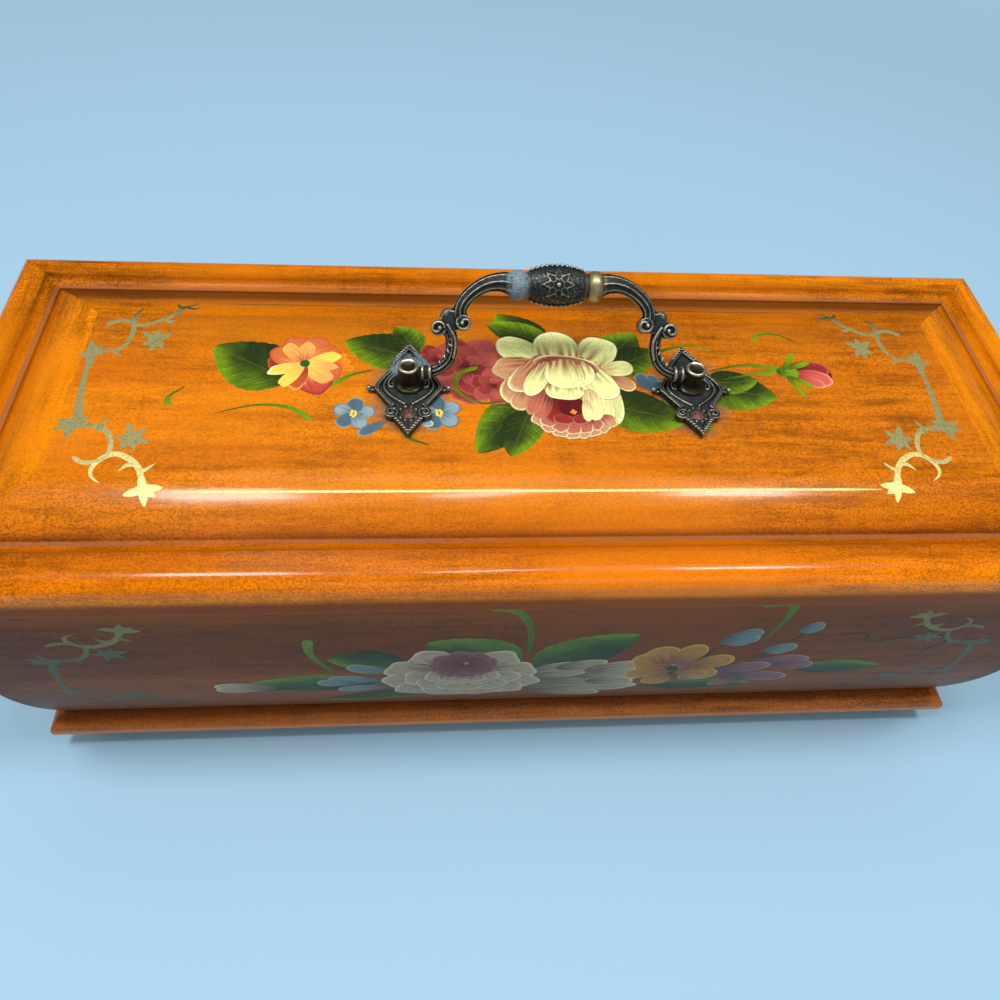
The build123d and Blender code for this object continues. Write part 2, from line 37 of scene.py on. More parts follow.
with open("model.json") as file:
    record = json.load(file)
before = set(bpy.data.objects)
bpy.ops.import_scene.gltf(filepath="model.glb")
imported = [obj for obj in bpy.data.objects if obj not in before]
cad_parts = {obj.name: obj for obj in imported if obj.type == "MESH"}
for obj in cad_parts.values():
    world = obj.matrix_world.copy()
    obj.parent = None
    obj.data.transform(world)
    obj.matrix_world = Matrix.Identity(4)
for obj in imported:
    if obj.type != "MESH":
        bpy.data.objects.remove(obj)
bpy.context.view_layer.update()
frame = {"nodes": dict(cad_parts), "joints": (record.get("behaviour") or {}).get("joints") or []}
nodes = frame["nodes"]
mm = 0.001

# Places read from the frame
lid_low, lid_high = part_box("lid_rail_front")
half_length = lid_high.x
half_width = -lid_low.y
lid_bottom = lid_low.z
panel_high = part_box("lid_panel")[1]
field_level = panel_high.z
wall_low, wall_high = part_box("wall_front")
plinth_low, plinth_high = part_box("plinth_front")
inner_half_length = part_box("floor_panel")[1].x - 1.8 * mm
inner_half_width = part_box("floor_panel")[1].y - 1.8 * mm
post_x = {side: sum(corner.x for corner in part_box(f"handle_post_{side}")) / 2 for side in ("left", "right")}
swing = next(joint for joint in frame["joints"] if joint["name"] == "bail_swing")
pivot = Vector(swing["pos_m"])

# Levels across the lid's moulding, as distances in from its outer edge
rim_width = 11.5 * mm
quirk_inset = 16.5 * mm
bevel_end_inset = 24.5 * mm
field_inset = half_length - panel_high.x


def paint(red, green, blue):
    """A paint colour written in screen values from 0 to 255, as the shaders want it."""
    return tuple(((c / 255 + 0.055) / 1.055) ** 2.4 if c > 10 else c / 3294.6 for c in (red, green, blue))


# Lacquer and paint colours
ORANGE = paint(204, 106, 0)
BRIGHT_ORANGE = paint(232, 132, 0)
GLAZE_BROWN = paint(110, 56, 0)
DEEP_BROWN = paint(62, 32, 10)
# The pinkish cove colour is a painted reflection
COVE_SHEEN_PINK = paint(150, 92, 62)
# The case colours are a heavier brown glaze, darkened further as painted shade
CASE_BROWN_SHADED = paint(146, 80, 20)
CASE_DARK_SHADED = paint(82, 42, 12)
BLACK_PAINT = paint(22, 21, 20)
CREAM = paint(234, 240, 158)
PALE_CREAM = paint(247, 248, 190)
OLIVE_CREAM = paint(186, 192, 116)
ROSE_PINK = paint(190, 104, 84)
DUSTY_PINK = paint(138, 78, 54)
CRIMSON = paint(148, 44, 42)
WINE = paint(94, 24, 26)
LEAF_DARK = paint(38, 50, 18)
LEAF_MIDDLE = paint(58, 76, 18)
LEAF_LIGHT = paint(116, 152, 14)
LEAF_VEIN = paint(150, 178, 50)
SUNNY = paint(246, 208, 84)
PEACH = paint(238, 168, 88)
TERRACOTTA = paint(190, 82, 44)
BLUE_GREY = paint(80, 104, 118)
PALE_BLUE = paint(138, 160, 166)
# The darker and paler golds are the gold paint with painted shade and a painted highlight
SHADED_GOLD = paint(84, 84, 52)
GOLD = paint(154, 150, 100)
LIT_GOLD = paint(232, 220, 140)


# Node trees

def new_finish(name, roughness=0.5, metallic=0.0):
    """A new material, its node tree and its shader."""
    material = bpy.data.materials.new(name)
    material.use_nodes = True
    tree = material.node_tree
    shader = tree.nodes["Principled BSDF"]
    shader.inputs["Roughness"].default_value = roughness
    shader.inputs["Metallic"].default_value = metallic
    return material, tree, shader


def put(tree, kind, sockets=None, **settings):
    """A node with its settings; sockets gives values or other nodes' outputs by name or number."""
    made = tree.nodes.new(kind)
    for key, value in settings.items():
        setattr(made, key, value)
    for key, value in (sockets or {}).items():
        if isinstance(value, bpy.types.NodeSocket):
            tree.links.new(value, made.inputs[key])
        else:
            made.inputs[key].default_value = value
    return made


def sums(tree, operation, first, second=0.0, clamp=False):
    """One arithmetic step."""
    return put(tree, "ShaderNodeMath", {0: first, 1: second}, operation=operation, use_clamp=clamp).outputs[0]


def times(tree, first, second, clamp=False):
    """The product of two values."""
    return sums(tree, "MULTIPLY", first, second, clamp)


def blend(tree, share, first, second, kind="MIX"):
    """Two colours mixed by a share."""
    made = put(tree, "ShaderNodeMix", {"Factor": share}, data_type="RGBA", blend_type=kind)
    for socket, value in ((made.inputs[6], first), (made.inputs[7], second)):
        if isinstance(value, bpy.types.NodeSocket):
            tree.links.new(value, socket)
        else:
            socket.default_value = (*value, 1)
    return made.outputs[2]


def fade(tree, value, start, end, low=0.0, high=1.0):
    """A smooth step of a value from low to high."""
    sockets = {"Value": value, "From Min": start, "From Max": end, "To Min": low, "To Max": high}
    return put(tree, "ShaderNodeMapRange", sockets, interpolation_type="SMOOTHSTEP").outputs[0]


def bands(tree, value, stops):
    """A colour for each place along a value."""
    ramp = put(tree, "ShaderNodeValToRGB", {"Fac": value})
    points = ramp.color_ramp.elements
    while len(points) < len(stops):
        points.new(0.5)
    for point, (place, colour) in zip(points, stops):
        point.position = place
        point.color = (*colour, 1)
    return ramp.outputs[0]


def cloud(tree, position, scale, stretch=(1, 1, 1), detail=4.0, roughness=0.55, offset=(0, 0, 0)):
    """Soft noise from 0 to 1; a stretch under 1 draws it out along that axis."""
    placed = put(tree, "ShaderNodeMapping", {"Vector": position, "Scale": stretch, "Location": offset})
    sockets = {"Vector": placed.outputs[0], "Scale": scale, "Detail": detail, "Roughness": roughness}
    return put(tree, "ShaderNodeTexNoise", sockets).outputs[0]


def raised(tree, shader, height, strength, distance):
    """Fine relief on a surface."""
    made = put(tree, "ShaderNodeBump", {"Height": height, "Strength": strength, "Distance": distance})
    tree.links.new(made.outputs[0], shader.inputs["Normal"])


def place_axes(tree):
    """The place on the object, and its three distances."""
    place = put(tree, "ShaderNodeTexCoord").outputs["Object"]
    return place, put(tree, "ShaderNodeSeparateXYZ", {0: place}).outputs


def inset_from_edge(tree, axes):
    """How far a place lies in from the lid's outline."""
    from_end = sums(tree, "SUBTRACT", half_length, sums(tree, "ABSOLUTE", axes[0]))
    from_front = sums(tree, "SUBTRACT", half_width, sums(tree, "ABSOLUTE", axes[1]))
    return sums(tree, "MINIMUM", from_end, from_front)


def glazed_wood(tree, place, grain, light, middle, dark, amount=0.5):
    """Orange lacquer under a brown glaze that was wiped along the grain and darkened near the corners."""
    along = [0.08 if axis == grain else 1.0 for axis in "xyz"]
    short = [0.12 if axis == grain else 1.0 for axis in "xyz"]
    crosswise = [1.0 if axis == grain else 0.12 for axis in "xyz"]
    broad = cloud(tree, place, 30.0, along, 4.0, 0.5)
    patches = cloud(tree, place, 15.0, (1, 1, 1), 4.0, 0.6, (3.1, 0.7, 1.9))
    wiped = cloud(tree, place, 300.0, short, 7.0, 0.75, (0.4, 2.3, 0.9))
    crossed = cloud(tree, place, 380.0, crosswise, 5.0, 0.7, (1.4, 5.3, 0.2))
    grains = cloud(tree, place, 1700.0, (0.8, 1, 1), 4.0, 0.7)
    axes = put(tree, "ShaderNodeSeparateXYZ", {0: place}).outputs
    by_end = fade(tree, sums(tree, "ABSOLUTE", axes[0]), half_length - 80 * mm, half_length - 18 * mm)
    by_side = fade(tree, sums(tree, "ABSOLUTE", axes[1]), half_width - 52 * mm, half_width - 12 * mm)
    corner = times(tree, by_end, by_side)
    body = bands(
        tree, broad, [(0.26, mixed(dark, middle, 0.75)), (0.42, middle), (0.6, light), (0.85, middle)],
    )
    heavy = sums(tree, "ADD", fade(tree, patches, 0.34, 0.62, 0.24, 0.95), times(tree, corner, 0.5))
    glaze_share = times(tree, fade(tree, wiped, 0.4, 0.68), heavy)
    glazed = blend(tree, times(tree, glaze_share, amount, True), body, dark)
    crossed_share = times(tree, fade(tree, crossed, 0.5, 0.75), times(tree, heavy, amount * 0.5))
    crossed_too = blend(tree, crossed_share, glazed, dark)
    grainy = sums(tree, "ADD", times(tree, heavy, 0.5), 0.1)
    speckled = blend(tree, times(tree, fade(tree, grains, 0.46, 0.6), grainy, True), crossed_too, dark)
    lively = blend(tree, fade(tree, grains, 0.46, 0.34, 0.0, 0.35), speckled, (1.2, 1.2, 1.0), "MULTIPLY")
    relief = sums(tree, "ADD", times(tree, wiped, 0.5), times(tree, crossed, 0.5))
    return lively, relief, grains


def lacquer_gloss(tree, shader, wiped, specks, roughness=0.32, coat=0.45, specular=0.2):
    """A brushed coat of varnish: clear gloss over the wiped glaze's faint ridges."""
    shader.inputs["Roughness"].default_value = roughness
    shader.inputs["Coat Weight"].default_value = coat
    shader.inputs["Coat Roughness"].default_value = 0.13
    shader.inputs["Specular IOR Level"].default_value = specular
    height = sums(tree, "ADD", times(tree, wiped, 0.6), times(tree, specks, 0.5))
    raised(tree, shader, height, 0.36, 0.0003)


def lid_rail_lacquer(side):
    """The lid's rails: glaze along each rail; painted light and shade for each member of the moulding, with a
    painted reflection in the cove and painted shade on the back bevel and under the rounded edge; black below.
    """
    grain = "x" if side in ("front", "back") else "y"
    material, tree, shader = new_finish(f"lacquer_{side}_rail")
    place, axes = place_axes(tree)
    amount = 0.62 if side == "front" else 0.8
    wood, wiped, specks = glazed_wood(tree, place, grain, BRIGHT_ORANGE, ORANGE, GLAZE_BROWN, amount)
    inset = inset_from_edge(tree, axes)
    members = times(tree, inset, 1 / (45 * mm))
    # Painted light and shade by member: a painted highlight on the rounded outer edge, painted shade in the
    # dark lines at the rim's inner edge and at the quirk, and on the bevel
    tones = [
        (0.0, (1.66, 1.66, 1)),
        (0.1, (1.32, 1.34, 1)),
        (rim_width / (45 * mm) - 0.05, (1.0, 0.98, 0.96)),
        (rim_width / (45 * mm) + 0.005, (0.74, 0.68, 0.6)),
        (rim_width / (45 * mm) + 0.03, (0.88, 0.84, 1)),
        (quirk_inset / (45 * mm) - 0.01, (0.8, 0.76, 1)),
        (quirk_inset / (45 * mm) + 0.005, (0.34, 0.28, 0.2)),
        (quirk_inset / (45 * mm) + 0.05, (0.82, 0.74, 0.5)),
        (bevel_end_inset / (45 * mm), (0.98, 0.98, 0.9)),
        (0.7, (1.04, 1.06, 1)),
    ]
    toned = blend(tree, 1.0, wood, bands(tree, members, tones), "MULTIPLY")
    cove = times(
        tree,
        fade(tree, inset, quirk_inset - 1.9 * mm, quirk_inset - 1.5 * mm),
        fade(tree, inset, quirk_inset, quirk_inset - 0.6 * mm),
    )
    # Painted reflection: a thin pinkish sheen along the cove just outside the quirk, broken up by noise
    cove_sheen_noise = cloud(tree, place, 240.0, (0.2, 0.2, 1), 3.0)
    toned = blend(tree, times(tree, cove, fade(tree, cove_sheen_noise, 0.3, 0.6, 0.3, 0.8)), toned, COVE_SHEEN_PINK)
    if side == "back":
        # Painted shade: the back bevel faces away from the light and is darkened, and the back rim's inner half
        # a little
        back_bevel_shade = fade(tree, inset, quirk_inset - 1 * mm, quirk_inset)
        lit = fade(tree, inset, bevel_end_inset + 5 * mm, bevel_end_inset - 1 * mm, 0.2, 0.85)
        toned = blend(tree, times(tree, back_bevel_shade, lit), toned, paint(72, 36, 0))
        toned = blend(tree, fade(tree, inset, quirk_inset, rim_width - 2 * mm, 0.0, 0.15), toned, GLAZE_BROWN)
    if side == "left":
        toned = blend(
            tree, fade(tree, inset, rim_width + 4 * mm, rim_width - 2 * mm, 0.0, 0.3), toned,
            GLAZE_BROWN,
        )
    # Darker toward the lid's lower edge: painted shade on the part that faces down, with some heavier glaze
    underside_shade = fade(tree, axes[2], lid_bottom + 10 * mm, lid_bottom + 5 * mm)
    toned = blend(tree, times(tree, underside_shade, 0.9), toned, paint(120, 52, 0))
    below = fade(tree, axes[2], field_level - 7.0 * mm, field_level - 7.4 * mm)
    inside = times(tree, below, fade(tree, inset, 3.4 * mm, 4.4 * mm))
    tree.links.new(blend(tree, inside, toned, BLACK_PAINT), shader.inputs["Base Color"])
    lacquer_gloss(tree, shader, wiped, specks)
    hollow = times(
        tree,
        fade(tree, inset, rim_width - 0.4 * mm, rim_width + 0.4 * mm),
        fade(
            tree, inset, quirk_inset + 5.2 * mm, quirk_inset + 0.4 * mm,
            0.7 if side == "back" else 0.0, 0.9,
        ),
    )
    if side == "front":
        hollow = times(tree, hollow, 0.35)
    dull = sums(tree, "MAXIMUM", hollow, fade(tree, axes[2], lid_bottom + 12.5 * mm, lid_bottom + 9 * mm))
    bright = sums(tree, "SUBTRACT", 1.0, dull)
    tree.links.new(times(tree, bright, 0.45), shader.inputs["Coat Weight"])
    shader.inputs["Specular IOR Level"].default_value = 0.07
    return material


def panel_lacquer():
    """The lid's flat panel: mottled glaze, with grey dust round the pull's plates, black below."""
    material, tree, shader = new_finish("lacquer_lid_panel")
    place, axes = place_axes(tree)
    wood, wiped, specks = glazed_wood(tree, place, "x", BRIGHT_ORANGE, ORANGE, GLAZE_BROWN, 0.75)
    back_shade = fade(tree, axes[1], 6 * mm, half_width - field_inset, 0.0, 0.42)
    wood = blend(tree, back_shade, wood, GLAZE_BROWN)
    for x in post_x.values():
        offset = put(
            tree, "ShaderNodeVectorMath", {0: place, 1: (x, -2 * mm, field_level)},
            operation="SUBTRACT",
        )
        flat = put(
            tree, "ShaderNodeVectorMath", {0: offset.outputs[0], 1: (1, 0.72, 0)},
            operation="MULTIPLY",
        )
        reach = put(tree, "ShaderNodeVectorMath", {0: flat.outputs[0]}, operation="LENGTH").outputs["Value"]
        ragged = sums(tree, "ADD", reach, times(tree, cloud(tree, place, 160.0), 9 * mm))
        halo = fade(tree, ragged, 19 * mm, 13 * mm, 0.0, 0.62)
        wood = blend(tree, halo, wood, paint(96, 92, 80))
    below = fade(tree, axes[2], field_level - 0.4 * mm, field_level - 0.8 * mm)
    tree.links.new(blend(tree, below, wood, BLACK_PAINT), shader.inputs["Base Color"])
    lacquer_gloss(tree, shader, wiped, specks)
    return material


def case_lacquer(side):
    """The case walls: the glaze outside heavier and browner than on the lid and darkened further as painted
    shade, lighter orange toward the top as glaze streaks and painted light, with a painted reflection of the
    floor low down; flat black inside and on top.
    """
    grain = "x" if side in ("front", "back") else "y"
    material, tree, shader = new_finish(f"lacquer_{side}_wall")
    place, axes = place_axes(tree)
    # The case's glaze colours are darker than the lid's, partly as painted shade
    wood, wiped, specks = glazed_wood(tree, place, grain, CASE_BROWN_SHADED, paint(124, 64, 16), CASE_DARK_SHADED, 0.7)
    # Lighter orange toward the wall's top: the glaze's orange streaks there, and painted light where the top is
    # lit
    top_glaze_and_light = fade(tree, axes[2], wall_high.z - 16 * mm, wall_high.z - 1 * mm, 0.0, 0.35)
    wood = blend(tree, top_glaze_and_light, wood, paint(166, 86, 12))
    # Painted reflection: a mauve-grey sheen of the floor on the lower walls
    low_floor_sheen = fade(tree, axes[2], wall_low.z + 40 * mm, wall_low.z, 0.0, 0.3)
    wood = blend(tree, low_floor_sheen, wood, paint(126, 100, 92))
    tip = fade(tree, sums(tree, "ABSOLUTE", axes[0]), half_length - 14 * mm, half_length - 2 * mm, 0.0, 0.35)
    wood = blend(tree, tip, wood, DEEP_BROWN)
    by_end = fade(
        tree, sums(tree, "ABSOLUTE", axes[0]), inner_half_length + 0.3 * mm,
        inner_half_length + 0.1 * mm,
    )
    by_front = fade(
        tree, sums(tree, "ABSOLUTE", axes[1]), inner_half_width + 0.3 * mm,
        inner_half_width + 0.1 * mm,
    )
    inner = times(tree, by_end, by_front)
    top = fade(tree, axes[2], wall_high.z - 0.3 * mm, wall_high.z - 0.1 * mm)
    black = sums(tree, "MAXIMUM", inner, top)
    tree.links.new(blend(tree, black, wood, BLACK_PAINT), shader.inputs["Base Color"])
    lacquer_gloss(tree, shader, wiped, specks, 0.38, 0.0, 0.1)
    return material


def plinth_lacquer(side):
    """The plinth: orange lacquer with a painted highlight along its nose, brown where it meets the case."""
    grain = "x" if side in ("front", "back") else "y"
    material, tree, shader = new_finish(f"lacquer_{side}_plinth")
    place, axes = place_axes(tree)
    wood, wiped, specks = glazed_wood(
        tree, place, grain, paint(206, 112, 28), paint(184, 96, 20), DEEP_BROWN, 0.6,
    )
    heel = fade(tree, axes[2], plinth_high.z - 2.0 * mm, plinth_high.z, 0.0, 0.5)
    wood = blend(tree, heel, wood, DEEP_BROWN)
    # Painted highlight: a lighter band along the plinth's rounded nose
    nose = times(
        tree,
        fade(tree, axes[2], plinth_low.z, plinth_low.z + 1.2 * mm),
        fade(tree, axes[2], plinth_low.z + 4.6 * mm, plinth_low.z + 3 * mm),
    )
    wood = blend(tree, times(tree, nose, 0.5), wood, paint(230, 136, 48))
    tree.links.new(wood, shader.inputs["Base Color"])
    lacquer_gloss(tree, shader, wiped, specks, 0.34, 0.15, 0.16)
    return material


def flat_black():
    """Matt black brushed paint on the box's inside."""
    material, tree, shader = new_finish("flat_black_paint", 0.62)
    place = place_axes(tree)[0]
    brushed = cloud(tree, place, 420.0, (0.08, 1, 1), 5.0)
    tone = blend(tree, brushed, paint(16, 15, 15), paint(34, 33, 31))
    tree.links.new(tone, shader.inputs["Base Color"])
    raised(tree, shader, brushed, 0.3, 0.0003)
    return material


def painted_ornament():
    """Oil paint: each mark's own colour, broken along the brush, with a slight ridge to the strokes."""
    material, tree, shader = new_finish("painted_ornament", 0.4)
    shader.inputs["Coat Weight"].default_value = 0.08
    shader.inputs["Coat Roughness"].default_value = 0.16
    shader.inputs["Specular IOR Level"].default_value = 0.14
    tint = put(tree, "ShaderNodeAttribute", attribute_name="tint").outputs["Color"]
    brush = put(tree, "ShaderNodeAttribute", attribute_name="brush").outputs["Vector"]
    bristles = cloud(tree, brush, 1.0, (2.6, 0.24, 1), 4.0, 0.6)
    place = place_axes(tree)[0]
    grit = cloud(tree, place, 1700.0, (1, 1, 1), 2.0)
    lighter = blend(tree, fade(tree, bristles, 0.48, 0.72, 0.0, 0.7), tint, (1.2, 1.18, 1.12), "MULTIPLY")
    darker = blend(tree, fade(tree, bristles, 0.52, 0.28, 0.0, 0.8), lighter, (0.66, 0.6, 0.48), "MULTIPLY")
    gritty = blend(tree, fade(tree, grit, 0.54, 0.74, 0.0, 0.4), darker, (0.62, 0.56, 0.46), "MULTIPLY")
    tree.links.new(gritty, shader.inputs["Base Color"])
    raised(tree, shader, bristles, 0.3, 0.00025)
    return material


def gold_paint():
    """Bronze-powder paint: dull greenish gold, broken where the brush ran dry."""
    material, tree, shader = new_finish("gold_paint", 0.45, 0.25)
    place = place_axes(tree)[0]
    tint = put(tree, "ShaderNodeAttribute", attribute_name="tint").outputs["Color"]
    grains = cloud(tree, place, 1300.0, (1, 1, 1), 4.0, 0.75)
    worn = blend(tree, fade(tree, grains, 0.5, 0.64, 0.0, 0.8), tint, (0.62, 0.5, 0.3), "MULTIPLY")
    tree.links.new(worn, shader.inputs["Base Color"])
    raised(tree, shader, grains, 0.3, 0.0002)
    return material


def antique_casting(name, bloom=(), bare=(), stippled=False):
    """Cast brass under a gunmetal patina: dark in its hollows, rubbed bright on its ridges.
    bloom lists blue-white corroded places, bare lists rubbed brassy ones, each (middle, radii)."""
    material, tree, shader = new_finish(name, 0.45, 0.8)
    place = place_axes(tree)[0]
    relief = put(tree, "ShaderNodeAttribute", attribute_name="relief").outputs["Fac"]
    pitted = cloud(tree, place, 2200.0, (1, 1, 1), 3.0, 0.6)
    mottle = cloud(tree, place, 420.0, (1, 1, 1), 4.0)
    height = sums(tree, "ADD", relief, times(tree, sums(tree, "SUBTRACT", mottle, 0.5), 0.34))
    grain = pitted
    if stippled:
        from_grip = put(
            tree, "ShaderNodeVectorMath", {0: place, 1: tuple(on_bail(0, bail_reach))},
            operation="DISTANCE",
        )
        on_grip = fade(tree, from_grip.outputs["Value"], 9.6 * mm, 9.0 * mm)
        between = times(tree, on_grip, fade(tree, relief, 0.62, 0.52))
        cells = put(tree, "ShaderNodeTexVoronoi", {"Vector": place, "Scale": 1250.0}).outputs["Distance"]
        dots = fade(tree, cells, 0.15, 0.6, 0.1, -0.12)
        height = sums(tree, "ADD", height, times(tree, dots, between))
        grain = sums(tree, "ADD", pitted, times(tree, dots, times(tree, between, 4.0)))
    stops = [
        (0.24, paint(24, 30, 34)), (0.48, paint(54, 60, 62)), (0.66, paint(104, 104, 94)),
        (0.88, paint(180, 174, 148)),
    ]
    colour = bands(tree, height, stops)
    roughness = fade(tree, height, 0.3, 0.8, 0.62, 0.36)
    metal = sums(tree, "ADD", 0.0, 0.8)
    brassy = bands(
        tree, height,
        [(0.25, paint(84, 78, 54)), (0.6, paint(168, 158, 112)), (0.85, paint(222, 214, 168))],
    )
    crust = bands(tree, pitted, [(0.3, paint(60, 80, 92)), (0.62, paint(140, 166, 178))])
    for places, finish, dulling in ((bare, brassy, 0.0), (bloom, crust, 0.8)):
        for middle, radii in places:
            offset = put(tree, "ShaderNodeVectorMath", {0: place, 1: middle}, operation="SUBTRACT").outputs[0]
            scaled = put(
                tree, "ShaderNodeVectorMath", {0: offset, 1: [1 / r for r in radii]},
                operation="MULTIPLY",
            )
            reach = put(
                tree, "ShaderNodeVectorMath", {0: scaled.outputs[0]}, operation="LENGTH",
            ).outputs["Value"]
            ragged = sums(tree, "ADD", reach, times(tree, sums(tree, "SUBTRACT", mottle, 0.5), 1.1))
            share = fade(tree, ragged, 1.2, 0.7, 0.0, 0.85)
            colour = blend(tree, share, colour, finish)
            if dulling:
                metal = sums(tree, "SUBTRACT", metal, times(tree, share, dulling), True)
                roughness = sums(tree, "ADD", roughness, times(tree, share, 0.25), True)
    tree.links.new(colour, shader.inputs["Base Color"])
    tree.links.new(roughness, shader.inputs["Roughness"])
    if bloom:
        tree.links.new(metal, shader.inputs["Metallic"])
    raised(tree, shader, grain, 0.35, 0.00012)
    return material


def plain_metal(name, light, dark, roughness=0.35):
    """Hardware metal with light scratches and tarnish."""
    material, tree, shader = new_finish(name, roughness, 1.0)
    place = place_axes(tree)[0]
    tarnish = cloud(tree, place, 300.0, (1, 1, 1), 4.0)
    scratches = cloud(tree, place, 1500.0, (0.1, 1, 1), 3.0)
    colour = blend(tree, fade(tree, tarnish, 0.35, 0.7), light, dark)
    tree.links.new(colour, shader.inputs["Base Color"])
    tree.links.new(
        fade(tree, scratches, 0.3, 0.7, roughness - 0.08, roughness + 0.15),
        shader.inputs["Roughness"],
    )
    raised(tree, shader, scratches, 0.12, 0.0001)
    return material


def foot_rubber():
    """Black rubber, a little dusty."""
    material, tree, shader = new_finish("foot_rubber", 0.72)
    place = place_axes(tree)[0]
    dust = cloud(tree, place, 700.0, (1, 1, 1), 4.0)
    tree.links.new(
        blend(tree, fade(tree, dust, 0.45, 0.8), paint(24, 24, 25), paint(62, 60, 58)),
        shader.inputs["Base Color"],
    )
    raised(tree, shader, dust, 0.2, 0.0002)
    return material


def rusty_pin():
    """The plate's iron pin, browned."""
    material, tree, shader = new_finish("rusty_pin", 0.6, 0.4)
    place = place_axes(tree)[0]
    rust = cloud(tree, place, 900.0, (1, 1, 1), 4.0)
    tree.links.new(
        blend(tree, fade(tree, rust, 0.35, 0.65), paint(122, 84, 72), paint(74, 44, 38)),
        shader.inputs["Base Color"],
    )
    raised(tree, shader, rust, 0.5, 0.0002)
    return material


# Brush marks, drawn flat and then laid on the wood

class Sheet:
    """Brush marks on a flat sheet in millimetres; each lies just above the marks that it crosses."""

    layer_step = 0.003
    thickness = 0.03

    def __init__(self, tone=(1, 1, 1)):
        self.mesh = bmesh.new()
        self.tint = self.mesh.verts.layers.float_color.new("tint")
        self.brush = self.mesh.verts.layers.float_vector.new("brush")
        self.laid = []
        # The tone scales every mark's colour; the case front's sheets use it to darken their colours as painted
        # shade
        self.tone = tone

    def free_level(self, places):
        """The lowest layer that no earlier mark takes in this mark's box."""
        xs, ys = zip(*places)
        left, right, low, high = min(xs), max(xs), min(ys), max(ys)
        under = [
            level for level, x0, x1, y0,
            y1 in self.laid if left < x1 and x0 < right and low < y1 and y0 < high
        ]
        level = max(under, default=0) + 1
        self.laid.append((level, left, right, low, high))
        return level

    def mark(self, shape, shade, size, columns=10, rows=10):
        """A grid bent to shape(across, along) and coloured by shade(across, along), both -1 to 1."""
        verts = bmesh.ops.create_grid(self.mesh, x_segments=columns, y_segments=rows, size=1)["verts"]
        shares = [tuple(math.copysign(1 - (1 - abs(c)) ** 2, c) for c in vert.co[:2]) for vert in verts]
        places = [shape(*share) for share in shares]
        lift = self.thickness + self.free_level(places) * self.layer_step
        number = len(self.laid)
        for vert, (across, along), (x, y) in zip(verts, shares, places):
            vert[self.tint] = (*(c * shift for c, shift in zip(shade(across, along), self.tone)), 1)
            vert[self.brush] = (across * size[0] + number * 5.3, along * size[1], number * 3.1)
            vert.co = (x, y, 0 if max(abs(across), abs(along)) > 0.999 else lift)


def mixed(first, second, share):
    """A colour between two others."""
    share = min(max(share, 0), 1)
    return tuple(a + (b - a) * share for a, b in zip(first, second))


def turned(x, y, heading):
    """A place turned by a heading in degrees."""
    c, s = math.cos(math.radians(heading)), math.sin(math.radians(heading))
    return x * c - y * s, x * s + y * c


def shell(
    sheet, centre, heading, half, colours, pinch=0.2, ruffle=0.0, lobes=5, bend=0.0, shaded_side=0.0,
    streaks=0.25,
):
    """A petal about its middle, its outer end toward heading; half is its half length and half width.
    Colours are root, body and rim; shaded_side brings the root's colour up one side."""
    root, body, rim = colours
    half_length, half_width = half

    def on_disc(across, along):
        return across * math.sqrt(1 - along * along / 2), along * math.sqrt(1 - across * across / 2)

    def shape(across, along):
        x, y = on_disc(across, along)
        wave = 1 + ruffle * math.cos(math.atan2(x, y) * lobes + heading) * max(0, y + 0.4)
        x, y = turned(
            y * half_length * wave, (x * wave * (1 - pinch * (1 - y) / 2) + bend * y * y) * half_width,
            heading,
        )
        return centre[0] + x, centre[1] + y

    def shade(across, along):
        x, y = on_disc(across, along)
        streak = streaks * math.sin(x * 19 + heading) * (1 - y)
        colour = mixed(root, body, (y + 0.9) / 1.15 - streak)
        colour = mixed(colour, root, (x * shaded_side - 0.15) * 1.1)
        return mixed(colour, rim, (math.hypot(x, y) - 0.85) / 0.12 * min(1, max(0, y + 0.35)))

    sheet.mark(shape, shade, (half_width, half_length), 16, 12)


def petal(sheet, base, heading, length, width, colours, pinch=0.45, bend=0.0, ruffle=0.0):
    """A petal from its base outwards."""
    middle = turned(length / 2, 0, heading)
    centre = (base[0] + middle[0], base[1] + middle[1])
    shell(sheet, centre, heading, (length / 2, width / 2), colours, pinch, ruffle, 5, bend)


